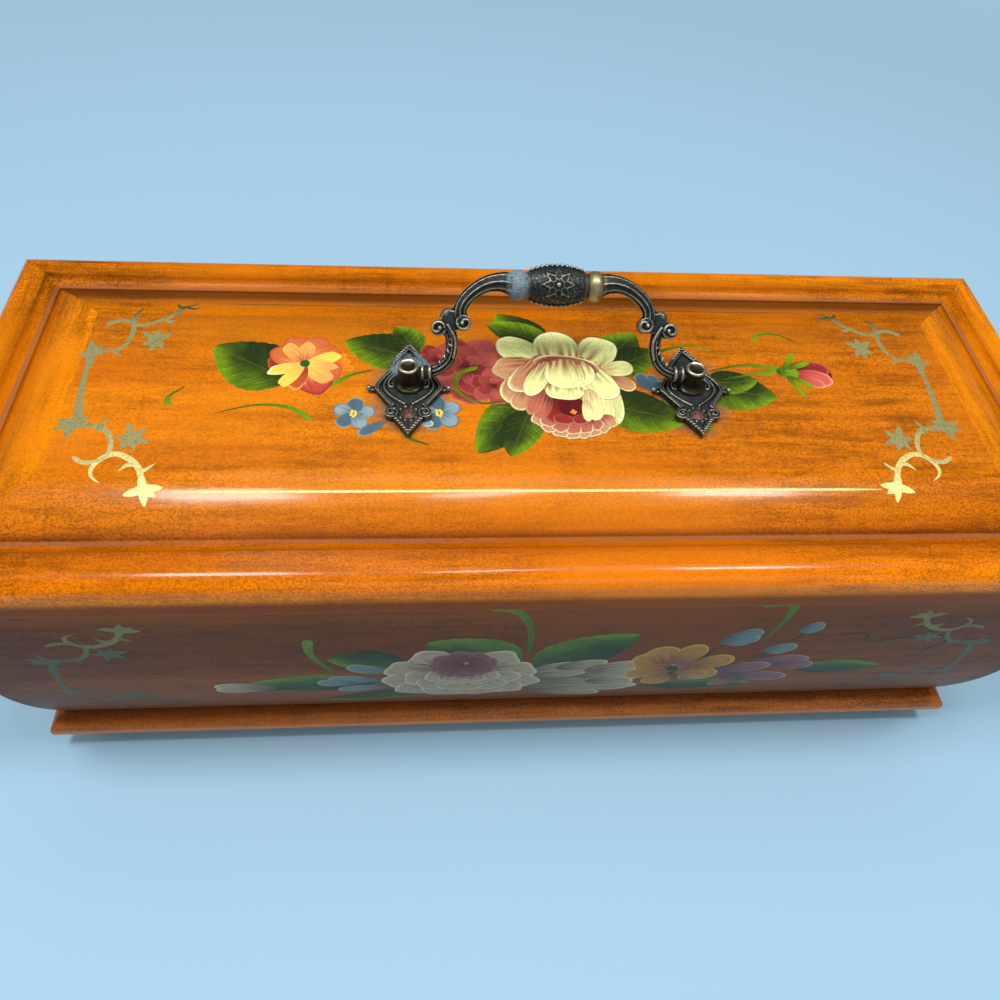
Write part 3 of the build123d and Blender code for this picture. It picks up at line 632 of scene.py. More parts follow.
def leaf(
    sheet, base, heading, length, width, bend=0.0, lit=1, tones=(LEAF_DARK, LEAF_MIDDLE, LEAF_LIGHT),
    teeth=0.12,
):
    """A broad toothed leaf, one side and the tip lit yellow-green with short pale veins."""
    dark, middle, light = tones

    def spine(t):
        return length * t, bend * length * t * (1 - t * 0.4)

    def half_width(t):
        saw = 1 + teeth * (0.5 - abs((t * 9) % 1 - 0.4)) * min(1, 5 * (1 - t))
        return width / 2 * math.sin(math.pi * t ** 0.78) ** 0.66 * (1 - 0.12 * t) * saw if 0 < t < 1 else 0

    def shape(across, along):
        t = (along + 1) / 2
        x, y = spine(t)
        x, y = turned(x + 0.08 * length * abs(across) * (1 - t), y + across * half_width(t), heading)
        return base[0] + x, base[1] + y

    def shade(across, along):
        t, side = (along + 1) / 2, across * lit
        ribs = 0.3 * math.sin((t * 2 - abs(across) * 0.5) * 22)
        blotch = 0.22 * math.sin(across * 5 + along * 7 + heading) + ribs * 0.5
        colour = mixed(middle, dark, 0.6 - side * 0.7 + blotch)
        colour = mixed(colour, light, (side - 0.2) * (0.35 + t) + blotch * 0.6)
        return mixed(colour, light, (t - 0.72) * 2.2 * (1 + side * 0.7) + blotch * 0.3)

    sheet.mark(shape, shade, (width / 2, length / 2), 16, 44)

    def vein(places, widths, colour):
        line = [turned(*place, heading) for place in places]
        stroke(
            sheet, [(base[0] + x, base[1] + y) for x, y in line], widths,
            (mixed(middle, colour, 0.35), colour),
        )

    vein([spine(t) for t in (0.08, 0.35, 0.6, 0.88)], (0.34, 0.14), mixed(middle, LEAF_VEIN, 0.3))
    for step in range(5):
        t = 0.22 + step * 0.13
        for side, colour in ((lit, mixed(middle, LEAF_VEIN, 0.8)), (-lit, mixed(dark, middle, 0.7))):
            x, y = spine(t)
            near, middle_way, far = (side * half_width(t) * share for share in (0.2, 0.5, 0.74))
            vein(
                [(x, y + near), (x + 0.04 * length, y + middle_way), (x + 0.1 * length, y + far)],
                (0.14, 0.3), colour,
            )


def curve_through(points, share):
    """A place and a heading on a smooth line through the points."""
    runs = len(points) - 1
    along = min(max(share * runs, 0), runs - 1e-6)
    index = int(along)
    t = along - index
    p1, p2 = Vector(points[index]), Vector(points[index + 1])
    p0 = Vector(points[index - 1]) if index else p1 * 2 - p2
    p3 = Vector(points[index + 2]) if index + 2 <= runs else p2 * 2 - p1
    place = 0.5 * (
        2 * p1 + (p2 - p0) * t + (2 * p0 - 5 * p1 + 4 * p2 - p3) * t ** 2 + (3 * p1 - p0 - 3 * p2 + p3) * t ** 3
    )
    ahead = 0.5 * (
        (p2 - p0) + 2 * (2 * p0 - 5 * p1 + 4 * p2 - p3) * t + 3 * (3 * p1 - p0 - 3 * p2 + p3) * t ** 2
    )
    return place, ahead.normalized()


def stroke(sheet, points, widths, colours, swell=0.0, rows=None):
    """A brush line through the points, its width and colour going from the first to the last."""
    reach = sum(math.dist(a, b) for a, b in zip(points, points[1:])) / 2

    def shape(across, along):
        t = (along + 1) / 2
        place, ahead = curve_through(points, t)
        half = (widths[0] + (widths[1] - widths[0]) * t + swell * math.sin(math.pi * t)) / 2
        half *= min(1, 12 * min(t, 1 - t) + 0.3)
        return place.x - ahead.y * across * half, place.y + ahead.x * across * half

    def shade(across, along):
        return mixed(colours[0], colours[1], (along + 1) / 2)

    sheet.mark(shape, shade, (max(widths) / 2, reach), 4, rows or max(8, 6 * (len(points) - 1)))


def dab(sheet, centre, size, colour):
    """A round dab of paint."""
    shell(sheet, centre, 0, (size, size), (colour, colour, colour), 0)


def star(sheet, centre, points, long_arm, short_arm, colours, spin=0.0):
    """A pointed star of flat arms."""
    for index in range(points):
        heading = spin + index * 360 / points
        arm = long_arm if index % 2 == 0 else short_arm
        tip = turned(arm, 0, heading)
        stroke(
            sheet,
            [
                centre, (centre[0] + tip[0] * 0.4, centre[1] + tip[1] * 0.4),
                (centre[0] + tip[0], centre[1] + tip[1]),
            ],
            (2.2, 0.15),
            colours,
        )


def laid_on(name, sheet, surfaces, across, up, toward, body, material):
    """The sheet's marks dropped on to the wood along a direction, and made one piece."""
    skins = []
    for surface in surfaces:
        skin = bmesh.new()
        skin.from_mesh(nodes[surface].data)
        skins.append(BVHTree.FromBMesh(skin))
        skin.free()
    reach = 1.0
    doomed = []
    for vert in sheet.mesh.verts:
        origin = across * vert.co.x * mm + up * vert.co.y * mm - toward * reach
        hits = [skin.ray_cast(origin, toward) for skin in skins]
        hits = [hit for hit in hits if hit[0] is not None]
        if not hits:
            doomed.append(vert)
            continue
        point, normal = min(((hit[0], hit[1]) for hit in hits), key=lambda hit: (hit[0] - origin).length)
        if normal.dot(toward) > 0:
            normal = -normal
        vert.co = point + normal * (vert.co.z * mm + 0.00001)
    bmesh.ops.delete(sheet.mesh, geom=doomed, context="VERTS")
    bmesh.ops.recalc_face_normals(sheet.mesh, faces=sheet.mesh.faces)
    for face in sheet.mesh.faces:
        face.smooth = True
        if face.normal.dot(toward) > 0:
            face.normal_flip()
    return made_piece(name, sheet.mesh, body, material)


def made_piece(name, mesh, body, material):
    """A bmesh made into a named piece that rides on a body."""
    data = bpy.data.meshes.new(name)
    mesh.to_mesh(data)
    mesh.free()
    data.materials.append(material)
    piece = bpy.data.objects.new(name, data)
    bpy.context.scene.collection.objects.link(piece)
    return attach(piece, body)


# Flowers

def cabbage_rose(sheet, centre, size, heart, tones):
    """A full-blown rose: back petals, shaded sides, a long fall at the right, small lips below,
    a dark heart and a folded dome over it. Places are in millimetres of the largest rose."""
    deep, shaded, body, lip = tones
    wine, crimson, blush = heart
    rosy = mixed(deep, crimson, 0.4)
    mauve = mixed(shaded, blush, 0.35)
    green = mixed(body, OLIVE_CREAM, 0.6)

    def lay(x, y, heading, half_length, half_width, colours, rim_shade=0.14, **more):
        place = (centre[0] + x * size, centre[1] + y * size)
        half = (half_length * size, half_width * size)
        under = mixed(shaded, colours[0], 0.6)
        shell(
            sheet, place, heading, (half[0] + rim_shade, half[1] + rim_shade), (under, under, under),
            **more,
        )
        shell(sheet, place, heading, half, colours, **more)

    lay(12.6, 15.6, 52, 8.4, 7.4, (deep, body, lip), ruffle=0.04, lobes=4, streaks=0.5)
    lay(-12.6, 16.6, 152, 8.2, 6.2, (green, body, lip), ruffle=0.03, lobes=3, shaded_side=-0.5)
    lay(-0.4, 17.4, 94, 8.2, 8.6, (rosy, body, lip), ruffle=0.03, lobes=3, streaks=0.4, shaded_side=0.3)
    lay(20.0, 2.4, -36, 4.8, 3.4, (deep, mauve, body), pinch=0.4)
    lay(19.0, 8.6, 8, 5.6, 4.2, (shaded, body, lip), pinch=0.4)
    lay(-14.4, 8.4, 188, 7.6, 5.8, (rosy, mauve, OLIVE_CREAM), ruffle=0.04, shaded_side=-0.4, streaks=0.6)
    lay(-12.6, 0.6, 232, 9.0, 6.6, (rosy, mauve, body), shaded_side=-0.6, streaks=0.5)
    lay(0.6, -5.6, 270, 12.6, 12.4, (mauve, rosy, mauve), 0)
    lay(14.0, -4.6, -84, 11.4, 5.0, (green, green, lip), pinch=0.1)
    lay(11.6, -6.2, -88, 11.8, 4.6, (shaded, body, lip), pinch=0.2, shaded_side=0.6)
    lay(-13.0, -5.0, 246, 5.2, 4.0, (rosy, mauve, body))
    for x, y, heading in (
        (13.0, -14.4, -52), (10.6, -16.4, -62), (7.6, -17.8, -72), (4.4, -18.6, -82),
        (1.2, -18.8, -92), (-2.2, -18.0, -104), (-5.4, -16.2, -120), (-8.0, -13.4, -136),
    ):
        lay(x, y, heading, 2.9, 3.1, (crimson, mauve, lip), ruffle=0.05)
    for x, y, heading in (
        (8.6, -15.2, -62), (5.4, -16.4, -78), (1.8, -16.8, -92), (-2.0, -16.0, -108),
        (-5.4, -13.8, -130),
    ):
        lay(x, y, heading, 3.1, 3.0, (wine, blush, lip), ruffle=0.05)
    lay(0.2, -9.8, 268, 6.6, 8.6, (wine, crimson, blush), ruffle=0.05, lobes=6)
    lay(2.2, -8.6, 268, 4.4, 5.2, (wine, wine, crimson), 0)
    lay(-6.6, -8.2, 250, 5.4, 2.8, (wine, blush, blush), shaded_side=0.5)
    lay(-0.8, -13.8, 262, 1.9, 3.6, (crimson, crimson, mauve))
    lay(4.4, -13.8, 280, 1.9, 2.7, (crimson, crimson, mauve))
    lay(-8.8, -6.0, 246, 6.2, 2.6, (rosy, blush, mauve), pinch=0.3)
    lay(10.6, 3.8, -60, 10.6, 6.2, (rosy, body, lip), pinch=0.2, streaks=0.5, bend=0.2)
    lay(9.0, -7.4, -86, 6.8, 3.4, (shaded, body, lip), pinch=0.2, shaded_side=-0.5)
    lay(7.0, -10.0, -92, 4.6, 1.7, (shaded, body, lip), pinch=0.1)
    lay(-9.4, 5.6, 232, 10.0, 5.6, (rosy, mauve, lip), pinch=0.2, streaks=0.6, bend=-0.2)
    lay(2.2, 9.6, 82, 4.8, 11.2, (rosy, rosy, lip), 0, pinch=0.0)
    lay(-7.4, 3.8, 243, 8.6, 3.8, (rosy, body, lip), pinch=0.2, shaded_side=-0.4)
    lay(0.8, -1.4, 268, 4.2, 7.0, (rosy, body, lip), ruffle=0.02, streaks=0.4)
    lay(4.6, 6.2, 276, 6.6, 7.2, (rosy, body, lip), 0.1, pinch=0.1, streaks=0.3)
    lay(1.4, 6.0, 266, 6.8, 7.0, (rosy, body, lip), pinch=0.1, shaded_side=0.4)
    for step in range(4):
        x, y = turned(0.6, 0, step * 95)
        dab(
            sheet, (centre[0] + (x + 2.6) * size, centre[1] + (y - 10.6) * size), 0.5 * size,
            paint(236, 140, 40),
        )


def loose_rose(sheet, centre, size, tones, count=7, spin=0.0):
    """A smaller open rose of two rings of petals."""
    deep, body, lip = tones
    for ring, (reach, width) in enumerate(((1.0, 0.96), (0.74, 0.78), (0.44, 0.5))):
        for index in range(count - ring):
            heading = spin + ring * 25 + index * 360 / (count - ring)
            shade = mixed(body, lip, 0.5 + 0.5 * math.sin(index * 2.3 + ring))
            petal(sheet, centre, heading, reach * size, width * size, (deep, shade, lip), 0.6, ruffle=0.05)
    dab(sheet, centre, 0.1 * size, deep)


def open_rose(sheet, centre, size, tones):
    """A rose facing up: wide pale petals below and beside a heart of small dark ones."""
    deep, shaded, body, lip = tones
    rose, dusk = paint(150, 92, 100), paint(104, 52, 62)

    def lay(x, y, heading, half_length, half_width, colours, **more):
        place = (centre[0] + x * size, centre[1] + y * size)
        shell(sheet, place, heading, (half_length * size, half_width * size), colours, **more)

    for x, y, heading, half_length, half_width in (
        (-10, 10, 140, 8, 9), (10, 9, 36, 9, 8), (-17, 3, 168, 9, 8), (16, 1, 8, 9, 8), (-18, -5, 190, 9, 8),
        (17, -7, -20, 10, 8), (-14, -12, 214, 10, 8), (13, -13, -44, 10, 8), (-5, -15, 246, 9, 10),
        (
            6, -15, -80, 9, 10,
        ), (-12, -3, 200, 8, 8), (12, -3, -14, 8, 7), (-8, -8, 226, 8, 8), (8, -9, -48, 8, 8),
        (0, -9, 268, 8, 10), (-6, -3, 222, 6, 8), (6, -3, -40, 6, 8), (0, -3, 270, 6, 9),
    ):
        lay(x, y, heading, half_length, half_width, (deep, body, lip), ruffle=0.05, streaks=0.5)
    for step in range(8):
        x, y = turned(7.2, 0, step * 45 + 10)
        lay(x, y * 0.8 + 7, step * 45 + 10, 4.6, 5.0, (dusk, rose, shaded), ruffle=0.05)
    for step in range(5):
        x, y = turned(3.6, 0, step * 72 + 20)
        lay(x, y * 0.8 + 7.6, step * 72 + 20, 3.2, 3.6, (dusk, mixed(dusk, rose, 0.5), rose))
    dab(sheet, (centre[0] + size, centre[1] + 8.4 * size), 0.9 * size, paint(226, 160, 90))


def pansy(sheet, centre, size, spin=0.0):
    """An orange pansy: terracotta petals above and below, peach and yellow ones beside, a green eye."""
    brick, coral = paint(204, 104, 54), paint(192, 72, 56)
    for heading, length, width, colours in (
        (178, 0.98, 0.7, (CRIMSON, CRIMSON, TERRACOTTA)),
        (150, 1.02, 0.9, (PEACH, brick, TERRACOTTA)),
        (112, 1.08, 1.0, (PEACH, brick, TERRACOTTA)),
        (70, 1.06, 1.0, (PEACH, brick, TERRACOTTA)),
        (34, 1.02, 0.8, (PEACH, brick, TERRACOTTA)),
        (335, 1.04, 0.9, (PEACH, brick, TERRACOTTA)),
        (296, 1.16, 1.05, (PEACH, coral, CRIMSON)),
        (318, 0.98, 0.7, (SUNNY, PEACH, coral)),
        (256, 0.95, 0.6, (CRIMSON, TERRACOTTA, PEACH)),
        (128, 0.9, 0.52, (brick, PEACH, SUNNY)),
        (88, 0.84, 0.56, (TERRACOTTA, PEACH, brick)),
        (20, 0.96, 0.52, (PEACH, SUNNY, SUNNY)),
        (352, 0.86, 0.4, (SUNNY, PEACH, PEACH)),
        (200, 0.98, 0.44, (PEACH, SUNNY, PALE_CREAM)),
        (236, 0.98, 0.46, (PEACH, SUNNY, SUNNY)),
    ):
        petal(sheet, centre, heading + spin, size * length, size * width, colours, 0.45, 0.0, 0.04)
    dab(sheet, centre, size * 0.13, paint(30, 96, 40))


def forget_me_not(sheet, centre, size, spin=0.0):
    """A small blue-grey flower of five petals with a stippled yellow eye."""
    for index in range(5):
        colours = (BLUE_GREY, BLUE_GREY, PALE_BLUE) if index % 2 else (BLUE_GREY, PALE_BLUE, BLUE_GREY)
        petal(sheet, centre, spin + index * 72, size, size * 0.94, colours, 0.4)
    for index in range(7):
        place = turned(size * (0.1 + 0.04 * (index % 3)), 0, index * 51 + spin)
        dab(sheet, (centre[0] + place[0], centre[1] + place[1]), size * 0.07, SUNNY)


def rosebud(sheet, centre, heading, size):
    """A half-open bud in its sepals."""
    def lay(along, across, tilt, half_length, half_width, colours):
        x, y = turned(along * size, across * size, heading)
        place = (centre[0] + x, centre[1] + y)
        shell(sheet, place, heading + tilt, (half_length * size, half_width * size), colours)

    coral, pale = paint(206, 96, 78), paint(234, 160, 128)
    lay(0.52, 0.02, 0, 0.52, 0.4, (WINE, CRIMSON, WINE))
    lay(0.6, 0.14, 10, 0.42, 0.26, (WINE, CRIMSON, ROSE_PINK))
    lay(0.62, -0.1, -12, 0.42, 0.26, (CRIMSON, coral, pale))
    lay(0.5, -0.2, -24, 0.36, 0.16, (CRIMSON, coral, pale))
    green = (LEAF_MIDDLE, LEAF_LIGHT, LEAF_LIGHT)
    lay(0.04, 0.0, 0, 0.26, 0.2, green)
    lay(0.1, 0.34, 62, 0.36, 0.08, green)
    lay(0.32, 0.24, 26, 0.3, 0.08, green)
    lay(0.3, -0.26, -30, 0.3, 0.08, green)
    lay(0.16, -0.42, -62, 0.36, 0.07, green)


def lid_spray():
    """The spray across the lid: a cabbage rose between smaller flowers and leaves."""
    sheet = Sheet()
    leaf(sheet, (-75, 2), 146, 31, 22, 0.1, 1)
    leaf(sheet, (-35, 13), 160, 27, 17, 0.1, 1)
    leaf(sheet, (-37, 15), 124, 15, 12, -0.1, -1)
    leaf(sheet, (5, 18), 128, 23, 15, 0.15, 1)
    leaf(sheet, (9, 18), 158, 26, 13, -0.15, -1)
    leaf(sheet, (22, 9), 46, 22, 17, 0.12, 1)
    leaf(sheet, (24, 8), 24, 21, 13, 0.1, -1)
    leaf(sheet, (-4, -4), 232, 27, 15, 0.1, -1)
    leaf(sheet, (-2, -8), 253, 21, 13, -0.1, 1)
    leaf(sheet, (18, -5), -13, 30, 18, -0.1, -1)
    leaf(sheet, (55, 1), -14, 24, 17, 0.12, -1)
    leaf(sheet, (56, 3), 8, 18, 11, -0.1, -1)
    green = (LEAF_MIDDLE, LEAF_LIGHT)
    stroke(sheet, [(-98, -11), (-86, -7.6), (-76, -8.6), (-69, -13.6)], (0.3, 2.0), green)
    stroke(sheet, [(-111.6, -8), (-112.4, -4.6), (-108.2, 0)], (2.4, 0.3), (LEAF_LIGHT, LEAF_MIDDLE))
    stroke(sheet, [(-64.5, 0.6), (-58.6, 5.2), (-51.5, 7.6)], (2.2, 0.5), (LEAF_LIGHT, LEAF_MIDDLE))
    stroke(sheet, [(-42.5, -13.6), (-40.4, -20.0), (-33.6, -23.4)], (2.4, 0.5), (LEAF_LIGHT, LEAF_MIDDLE))
    stroke(sheet, [(58, 8.4), (70, 11.4), (78, 10.8), (86, 9.2)], (0.5, 2.2), green)
    stroke(sheet, [(62, 4.6), (72, 7), (82, 8.4)], (0.4, 1.8), green)
    stroke(sheet, [(92.6, 23), (86, 26.8), (79, 26), (77.4, 22.8)], (0.4, 1.9), green)
    stroke(sheet, [(42, 17.2), (52, 20.2), (61, 18.2)], (1.6, 0.4), green)
    stroke(sheet, [(51, -7), (52, -13), (54, -17.2)], (0.5, 2.0), green)
    deep = (WINE, paint(138, 46, 44), paint(178, 84, 74))
    loose_rose(sheet, (-21, 8.4), 15, deep, 7, 12)
    loose_rose(sheet, (-31, 12), 8, deep, 6, 0)
    loose_rose(sheet, (-13, 1), 8, deep, 6, 40)
    stroke(sheet, [(-10, -5.4), (-18, -6.2), (-25, -1), (-24.4, 6), (-18, 9.4)], (0.6, 2.2), green)
    for index, heading in enumerate((20, 48, -10)):
        petal(
            sheet, (-65, 9.4), heading, 6.6 + index * 0.5, 3.6,
            (TERRACOTTA, paint(226, 128, 24), paint(232, 150, 40)),
        )
    pansy(sheet, (-73, 10.2), 12.2)
    forget_me_not(sheet, (-56.6, -11), 6.6, 12)
    petal(sheet, (-47, -14), 215, 9.5, 4.6, (BLUE_GREY, BLUE_GREY, PALE_BLUE))
    forget_me_not(sheet, (-30.6, -10.6), 7.2, 30)
    petal(sheet, (-39, -13), -20, 7, 3.6, (BLUE_GREY, PALE_BLUE, PALE_CREAM))
    for heading in (60, 100, 20):
        petal(sheet, (36, 0), heading, 7.4, 5.6, (BLUE_GREY, BLUE_GREY, PALE_BLUE))
    cream = (DUSTY_PINK, paint(200, 160, 112), CREAM, PALE_CREAM)
    cabbage_rose(sheet, (8.6, 0.6), 1, (WINE, CRIMSON, ROSE_PINK), cream)
    rosebud(sheet, (85, 8.4), -6, 15)
    return sheet


def front_spray():
    """The spray across the front of the case, larger and looser, its colours darkened as painted shade."""
    # Painted shade: every colour of the front spray darkened
    sheet = Sheet((0.62, 0.57, 0.46))
    soft = (paint(50, 70, 26), paint(80, 108, 30), paint(130, 172, 30))
    leaf(sheet, (-3, 68), 148, 36, 25, 0.1, -1, soft)
    leaf(sheet, (-1, 66), 38, 40, 22, -0.12, 1, soft)
    leaf(sheet, (-40, 70), 172, 27, 16, -0.1, 1, soft)
    leaf(sheet, (-50, 56), 178, 46, 16, 0.05, -1, soft)
    leaf(sheet, (92, 60), 2, 32, 12, 0.0, 1, soft)
    leaf(sheet, (38, 58), 14, 24, 14, 0.1, 1, soft)
    leaf(sheet, (-34, 44), 190, 40, 14, 0.1, 1, soft)
    leaf(sheet, (40, 46), -6, 44, 14, 0.1, 1, soft)
    green = (soft[2], soft[1])
    stroke(sheet, [(-17, 107), (-8, 104), (-3, 94), (-2, 76)], (4.2, 1.4), green)
    stroke(sheet, [(-71, 89), (-71, 78), (-64, 63)], (3.6, 1.2), green)
    stroke(sheet, [(66, 106), (76, 106), (77, 96), (74, 80)], (4.6, 1.0), green)
    wisp = [(84, 88), (96, 85), (108, 86), (112, 80), (130, 84), (139, 80), (134, 71)]
    stroke(sheet, wisp, (0.7, 1.2), (soft[0], soft[0]), rows=64)
    stroke(sheet, [(58, 68), (60, 76), (64, 82)], (0.8, 0.8), (soft[0], soft[0]))
    stroke(sheet, [(60, 69), (76, 70), (88, 88)], (0.8, 0.8), (soft[0], soft[0]))
    stroke(sheet, [(-104, 52), (-86, 50), (-64, 56)], (0.8, 1.2), (soft[0], soft[0]))
    white = (paint(104, 84, 70), paint(186, 178, 156), paint(240, 240, 214))
    mauve = (paint(100, 64, 78), paint(154, 110, 124), paint(206, 170, 178))
    blue = (paint(84, 106, 128), paint(130, 156, 174), paint(180, 198, 204))
    for x, z, heading, length in (
        (60, 83, 6, 13), (62, 86, 12, 11), (77, 76, 8, 11), (84, 90, 14, 8),
        (-50, 58, 174, 18), (-48, 52, 190, 18), (-46, 64, 160, 16), (-58, 56, 178, 14),
    ):
        petal(sheet, (x, z), heading, length, 8, blue)
        petal(sheet, (x, z - 1), heading - 12, length * 0.8, 6, (blue[0], blue[1], blue[1]))
    for heading in (174, 184):
        petal(sheet, (-86, 53), heading, 20, 8, white, 0.2)
    for x, z, heading, length, width in (
        (66, 64, 176, 18, 8), (
            72, 60, 200, 20, 10,
        ), (74, 66, 4, 22, 9), (70, 56, -12, 24, 11), (64, 60, 10, 20, 9),
        (84, 64, -4, 15, 8), (78, 52, 220, 14, 9),
    ):
        petal(sheet, (x, z), heading, length, width, mauve, 0.2)
    for x, z, heading, length, width in (
        (
            0, 42, -16, 30, 12,
        ), (-2, 50, -8, 42, 15), (2, 56, 2, 38, 14), (14, 58, 8, 24, 12), (-4, 60, 12, 26, 14),
        (8, 65, 10, 18, 9), (18, 62, 14, 20, 9), (20, 52, -4, 18, 10),
    ):
        petal(sheet, (x, z), heading, length, width, white, 0.25, 0.0, 0.04)
    gold_petals = (paint(150, 84, 44), paint(206, 150, 66), paint(236, 206, 96))
    for x, z, heading, length, width in (
        (48, 64, 150, 16, 14), (46, 66, 110, 14, 14), (50, 62, 196, 18, 11), (48, 58, 250, 12, 12),
        (52, 62, 330, 16, 13), (54, 64, 20, 16, 12), (48, 66, 62, 16, 12), (50, 60, -20, 14, 8),
    ):
        petal(sheet, (x, z), heading, length, width, gold_petals, 0.35)
    dab(sheet, (49, 62.4), 2, soft[0])
    pale = (paint(118, 80, 76), paint(186, 144, 142), paint(200, 186, 168), paint(240, 238, 214))
    open_rose(sheet, (-23, 62), 1.0, pale)
    return sheet


# Gold scrollwork

def fleur(sheet, centre, tips, colour, hollow=1.9):
    """A flat ornament with a point at each tip and hollow sides between them."""
    arms = sorted((math.atan2(y - centre[1], x - centre[0]), math.dist(centre, (x, y))) for x, y in tips)
    waist = 0.36 * sum(length for angle, length in arms) / len(arms)

    def reach_at(angle):
        reach = waist
        for start, length in arms:
            turn = abs((angle - start + math.pi) % math.tau - math.pi)
            reach = max(reach, waist + (length - waist) * max(0, 1 - turn / 0.8) ** hollow)
        return reach

    def shape(across, along):
        x = across * math.sqrt(1 - along * along / 2)
        y = along * math.sqrt(1 - across * across / 2)
        angle = math.atan2(y, x)
        reach = reach_at(angle) * math.hypot(x, y)
        return centre[0] + math.cos(angle) * reach, centre[1] + math.sin(angle) * reach

    sheet.mark(shape, lambda across, along: colour, (3, 3), 30, 30)


def corner_scroll(sheet, way, flip, middle, reach):
    """Scrolls at one end of the lid or front, from the border line round to the other one."""
    def at(x, y):
        return middle[0] + way * x * reach[0], middle[1] + flip * y * reach[1]

    # The gilt is painted paler toward the front as a painted highlight and darker toward the back as painted
    # shade
    def gilt_lit_and_shaded_at(y):
        return mixed(mixed(GOLD, SHADED_GOLD, (y - 31) / 4), LIT_GOLD, (-20 - y) / 14)

    lines = [
        ([
            (111.0, -36), (112.4, -32.2), (115.3, -28.9), (119.2, -26.8), (122.5, -27.6),
            (124.8, -30.3), (125.3, -33.3), (124.1, -35.5), (121.9, -37),
        ], (2.2, 0.3), 0.9),
        ([(121.6, -27.0), (124, -29.2), (128, -29.8), (131.5, -27.8)], (1.2, 1.6), 0.5),
        ([(122.4, -28.6), (121.9, -24.1), (123.5, -19.4), (126.3, -16.6), (130.4, -16.0)], (1.4, 1.8), 0.5),
        ([(126.9, -18.2), (126.4, -15.6), (124.9, -12.8)], (2.6, 0.3), 0.4),
        ([(112.8, -32.4), (111, -32.6), (108.3, -30.2)], (2.2, 0.3), 0.6),
        ([(114.2, -30.4), (116.2, -31.0), (117.8, -33.0)], (2.2, 0.3), 0.4),
        ([(134.2, -12), (135.2, -2.8), (135.9, 5.2), (136.2, 10.4)], (2.8, 1.4), 0.0),
        ([(134.6, 15.0), (129.2, 15.4), (126.6, 18.3), (125.7, 23.2), (126.1, 28.6)], (1.4, 2.2), 0.0),
        ([(130.0, 15.6), (128.8, 14.2), (126.8, 12.6)], (1.9, 0.3), 0.3),
        ([(126.0, 27.4), (128.4, 29.0), (131.4, 28.9), (134.9, 27.0)], (1.8, 2.2), 0.0),
        ([(126.4, 27.6), (126.4, 31.4), (124.6, 35.2)], (2.6, 0.5), 0.4),
        ([(126.2, 27.4), (121.9, 27.3), (118.0, 29.6), (115.2, 31.4)], (1.8, 1.6), 0.0),
        ([(115.6, 31.0), (113.6, 33.2), (111.6, 36.2), (107.4, 38.8)], (1.8, 0.6), 1.0),
        ([(117.0, 30.4), (115.2, 29.0), (113.4, 29.4)], (2.2, 0.3), 0.5),
        ([(111.4, 35.4), (113.4, 36.6), (114.6, 38.6)], (1.8, 0.3), 0.3),
        ([(111.6, 36.6), (108.8, 35.4), (106.4, 35.8)], (1.6, 0.3), 0.3),
    ]
    for points, widths, swell in lines:
        colours = (gilt_lit_and_shaded_at(points[0][1]), gilt_lit_and_shaded_at(points[-1][1]))
        placed = [at(*point) for point in points]
        stroke(
            sheet, placed, [w * 0.8 * reach[0] for w in widths], colours, swell * 0.8 * reach[0],
            10 * len(points),
        )
    fleurs = [
        ((110.2, -38.8), [(104.6, -38.2), (109.2, -43.8), (115.6, -40.6), (111.6, -33.4), (106.4, -41.0)]),
        (
            (134.2, -15.4),
            [(133.4, -8.4), (139.4, -13.6), (135.6, -21.4), (128.0, -16.4), (139.6, -17.4), (130.6, -12.6)],
        ),
        (
            (117.0, -20.6),
            [(118.8, -14.8), (113.0, -17.2), (111.4, -22.8), (115.0, -25.6), (119.4, -25.2), (121.6, -20.6)],
        ),
        ((136.4, 13.2), [(140.6, 13.0), (137.4, 19.8), (135.2, 7.0), (131.8, 15.0), (133.4, 18.0)]),
        (
            (118.0, 20.2),
            [(122.6, 24.0), (117.6, 25.4), (113.0, 23.6), (114.8, 16.2), (118.4, 14.8), (122.0, 17.6)],
        ),
    ]
    for centre, tips in fleurs:
        fleur(sheet, at(*centre), [at(*tip) for tip in tips], gilt_lit_and_shaded_at(centre[1]))


def lid_gold():
    """Gold on the lid: scrolls at both ends and a fine line along front and back."""
    sheet = Sheet()
    for way in (-1, 1):
        corner_scroll(sheet, way, 1, (-2.9, 0), (1, 1))
    # The front line is painted pale as a highlight and the back line dark as shade
    for y, width, colour in ((-39.6, 0.8, LIT_GOLD), (38.8, 0.5, SHADED_GOLD)):
        stroke(sheet, [(-108, y), (0, y), (102, y)], (width, width), (colour, colour), rows=60)
    return sheet


def front_gold():
    """Gold scrolls at both ends of the case's front, darkened as painted shade."""
    # Painted shade: the front's gold darkened to a dull olive
    sheet = Sheet((0.25, 0.24, 0.13))
    for way in (-1, 1):
        corner_scroll(sheet, way, -1, (0, 66), (1.12, 0.8))
    return sheet


# The pull: the frame's castings with their fine relief

lean = math.radians(42)
bail_across = Vector((1, 0, 0))
bail_up = Vector((0, math.sin(lean), math.cos(lean)))
bail_front = Vector((0, -math.cos(lean), math.sin(lean)))
bail_reach = 26.3
grip_half_length = 9.0
grip_radius = 5.8
grip_end_radius = 4.0


def on_bail(u, v, w=0.0):
    """A place in the bail's own plane, in millimetres, as a place on the object."""
    return pivot + (bail_across * u + bail_up * v + bail_front * w) * mm


def merged_copy(node):
    """The frame's mesh of a node with its loose triangles joined."""
    mesh = bmesh.new()
    mesh.from_mesh(nodes[node].data)
    bmesh.ops.remove_doubles(mesh, verts=mesh.verts, dist=0.000002)
    return mesh


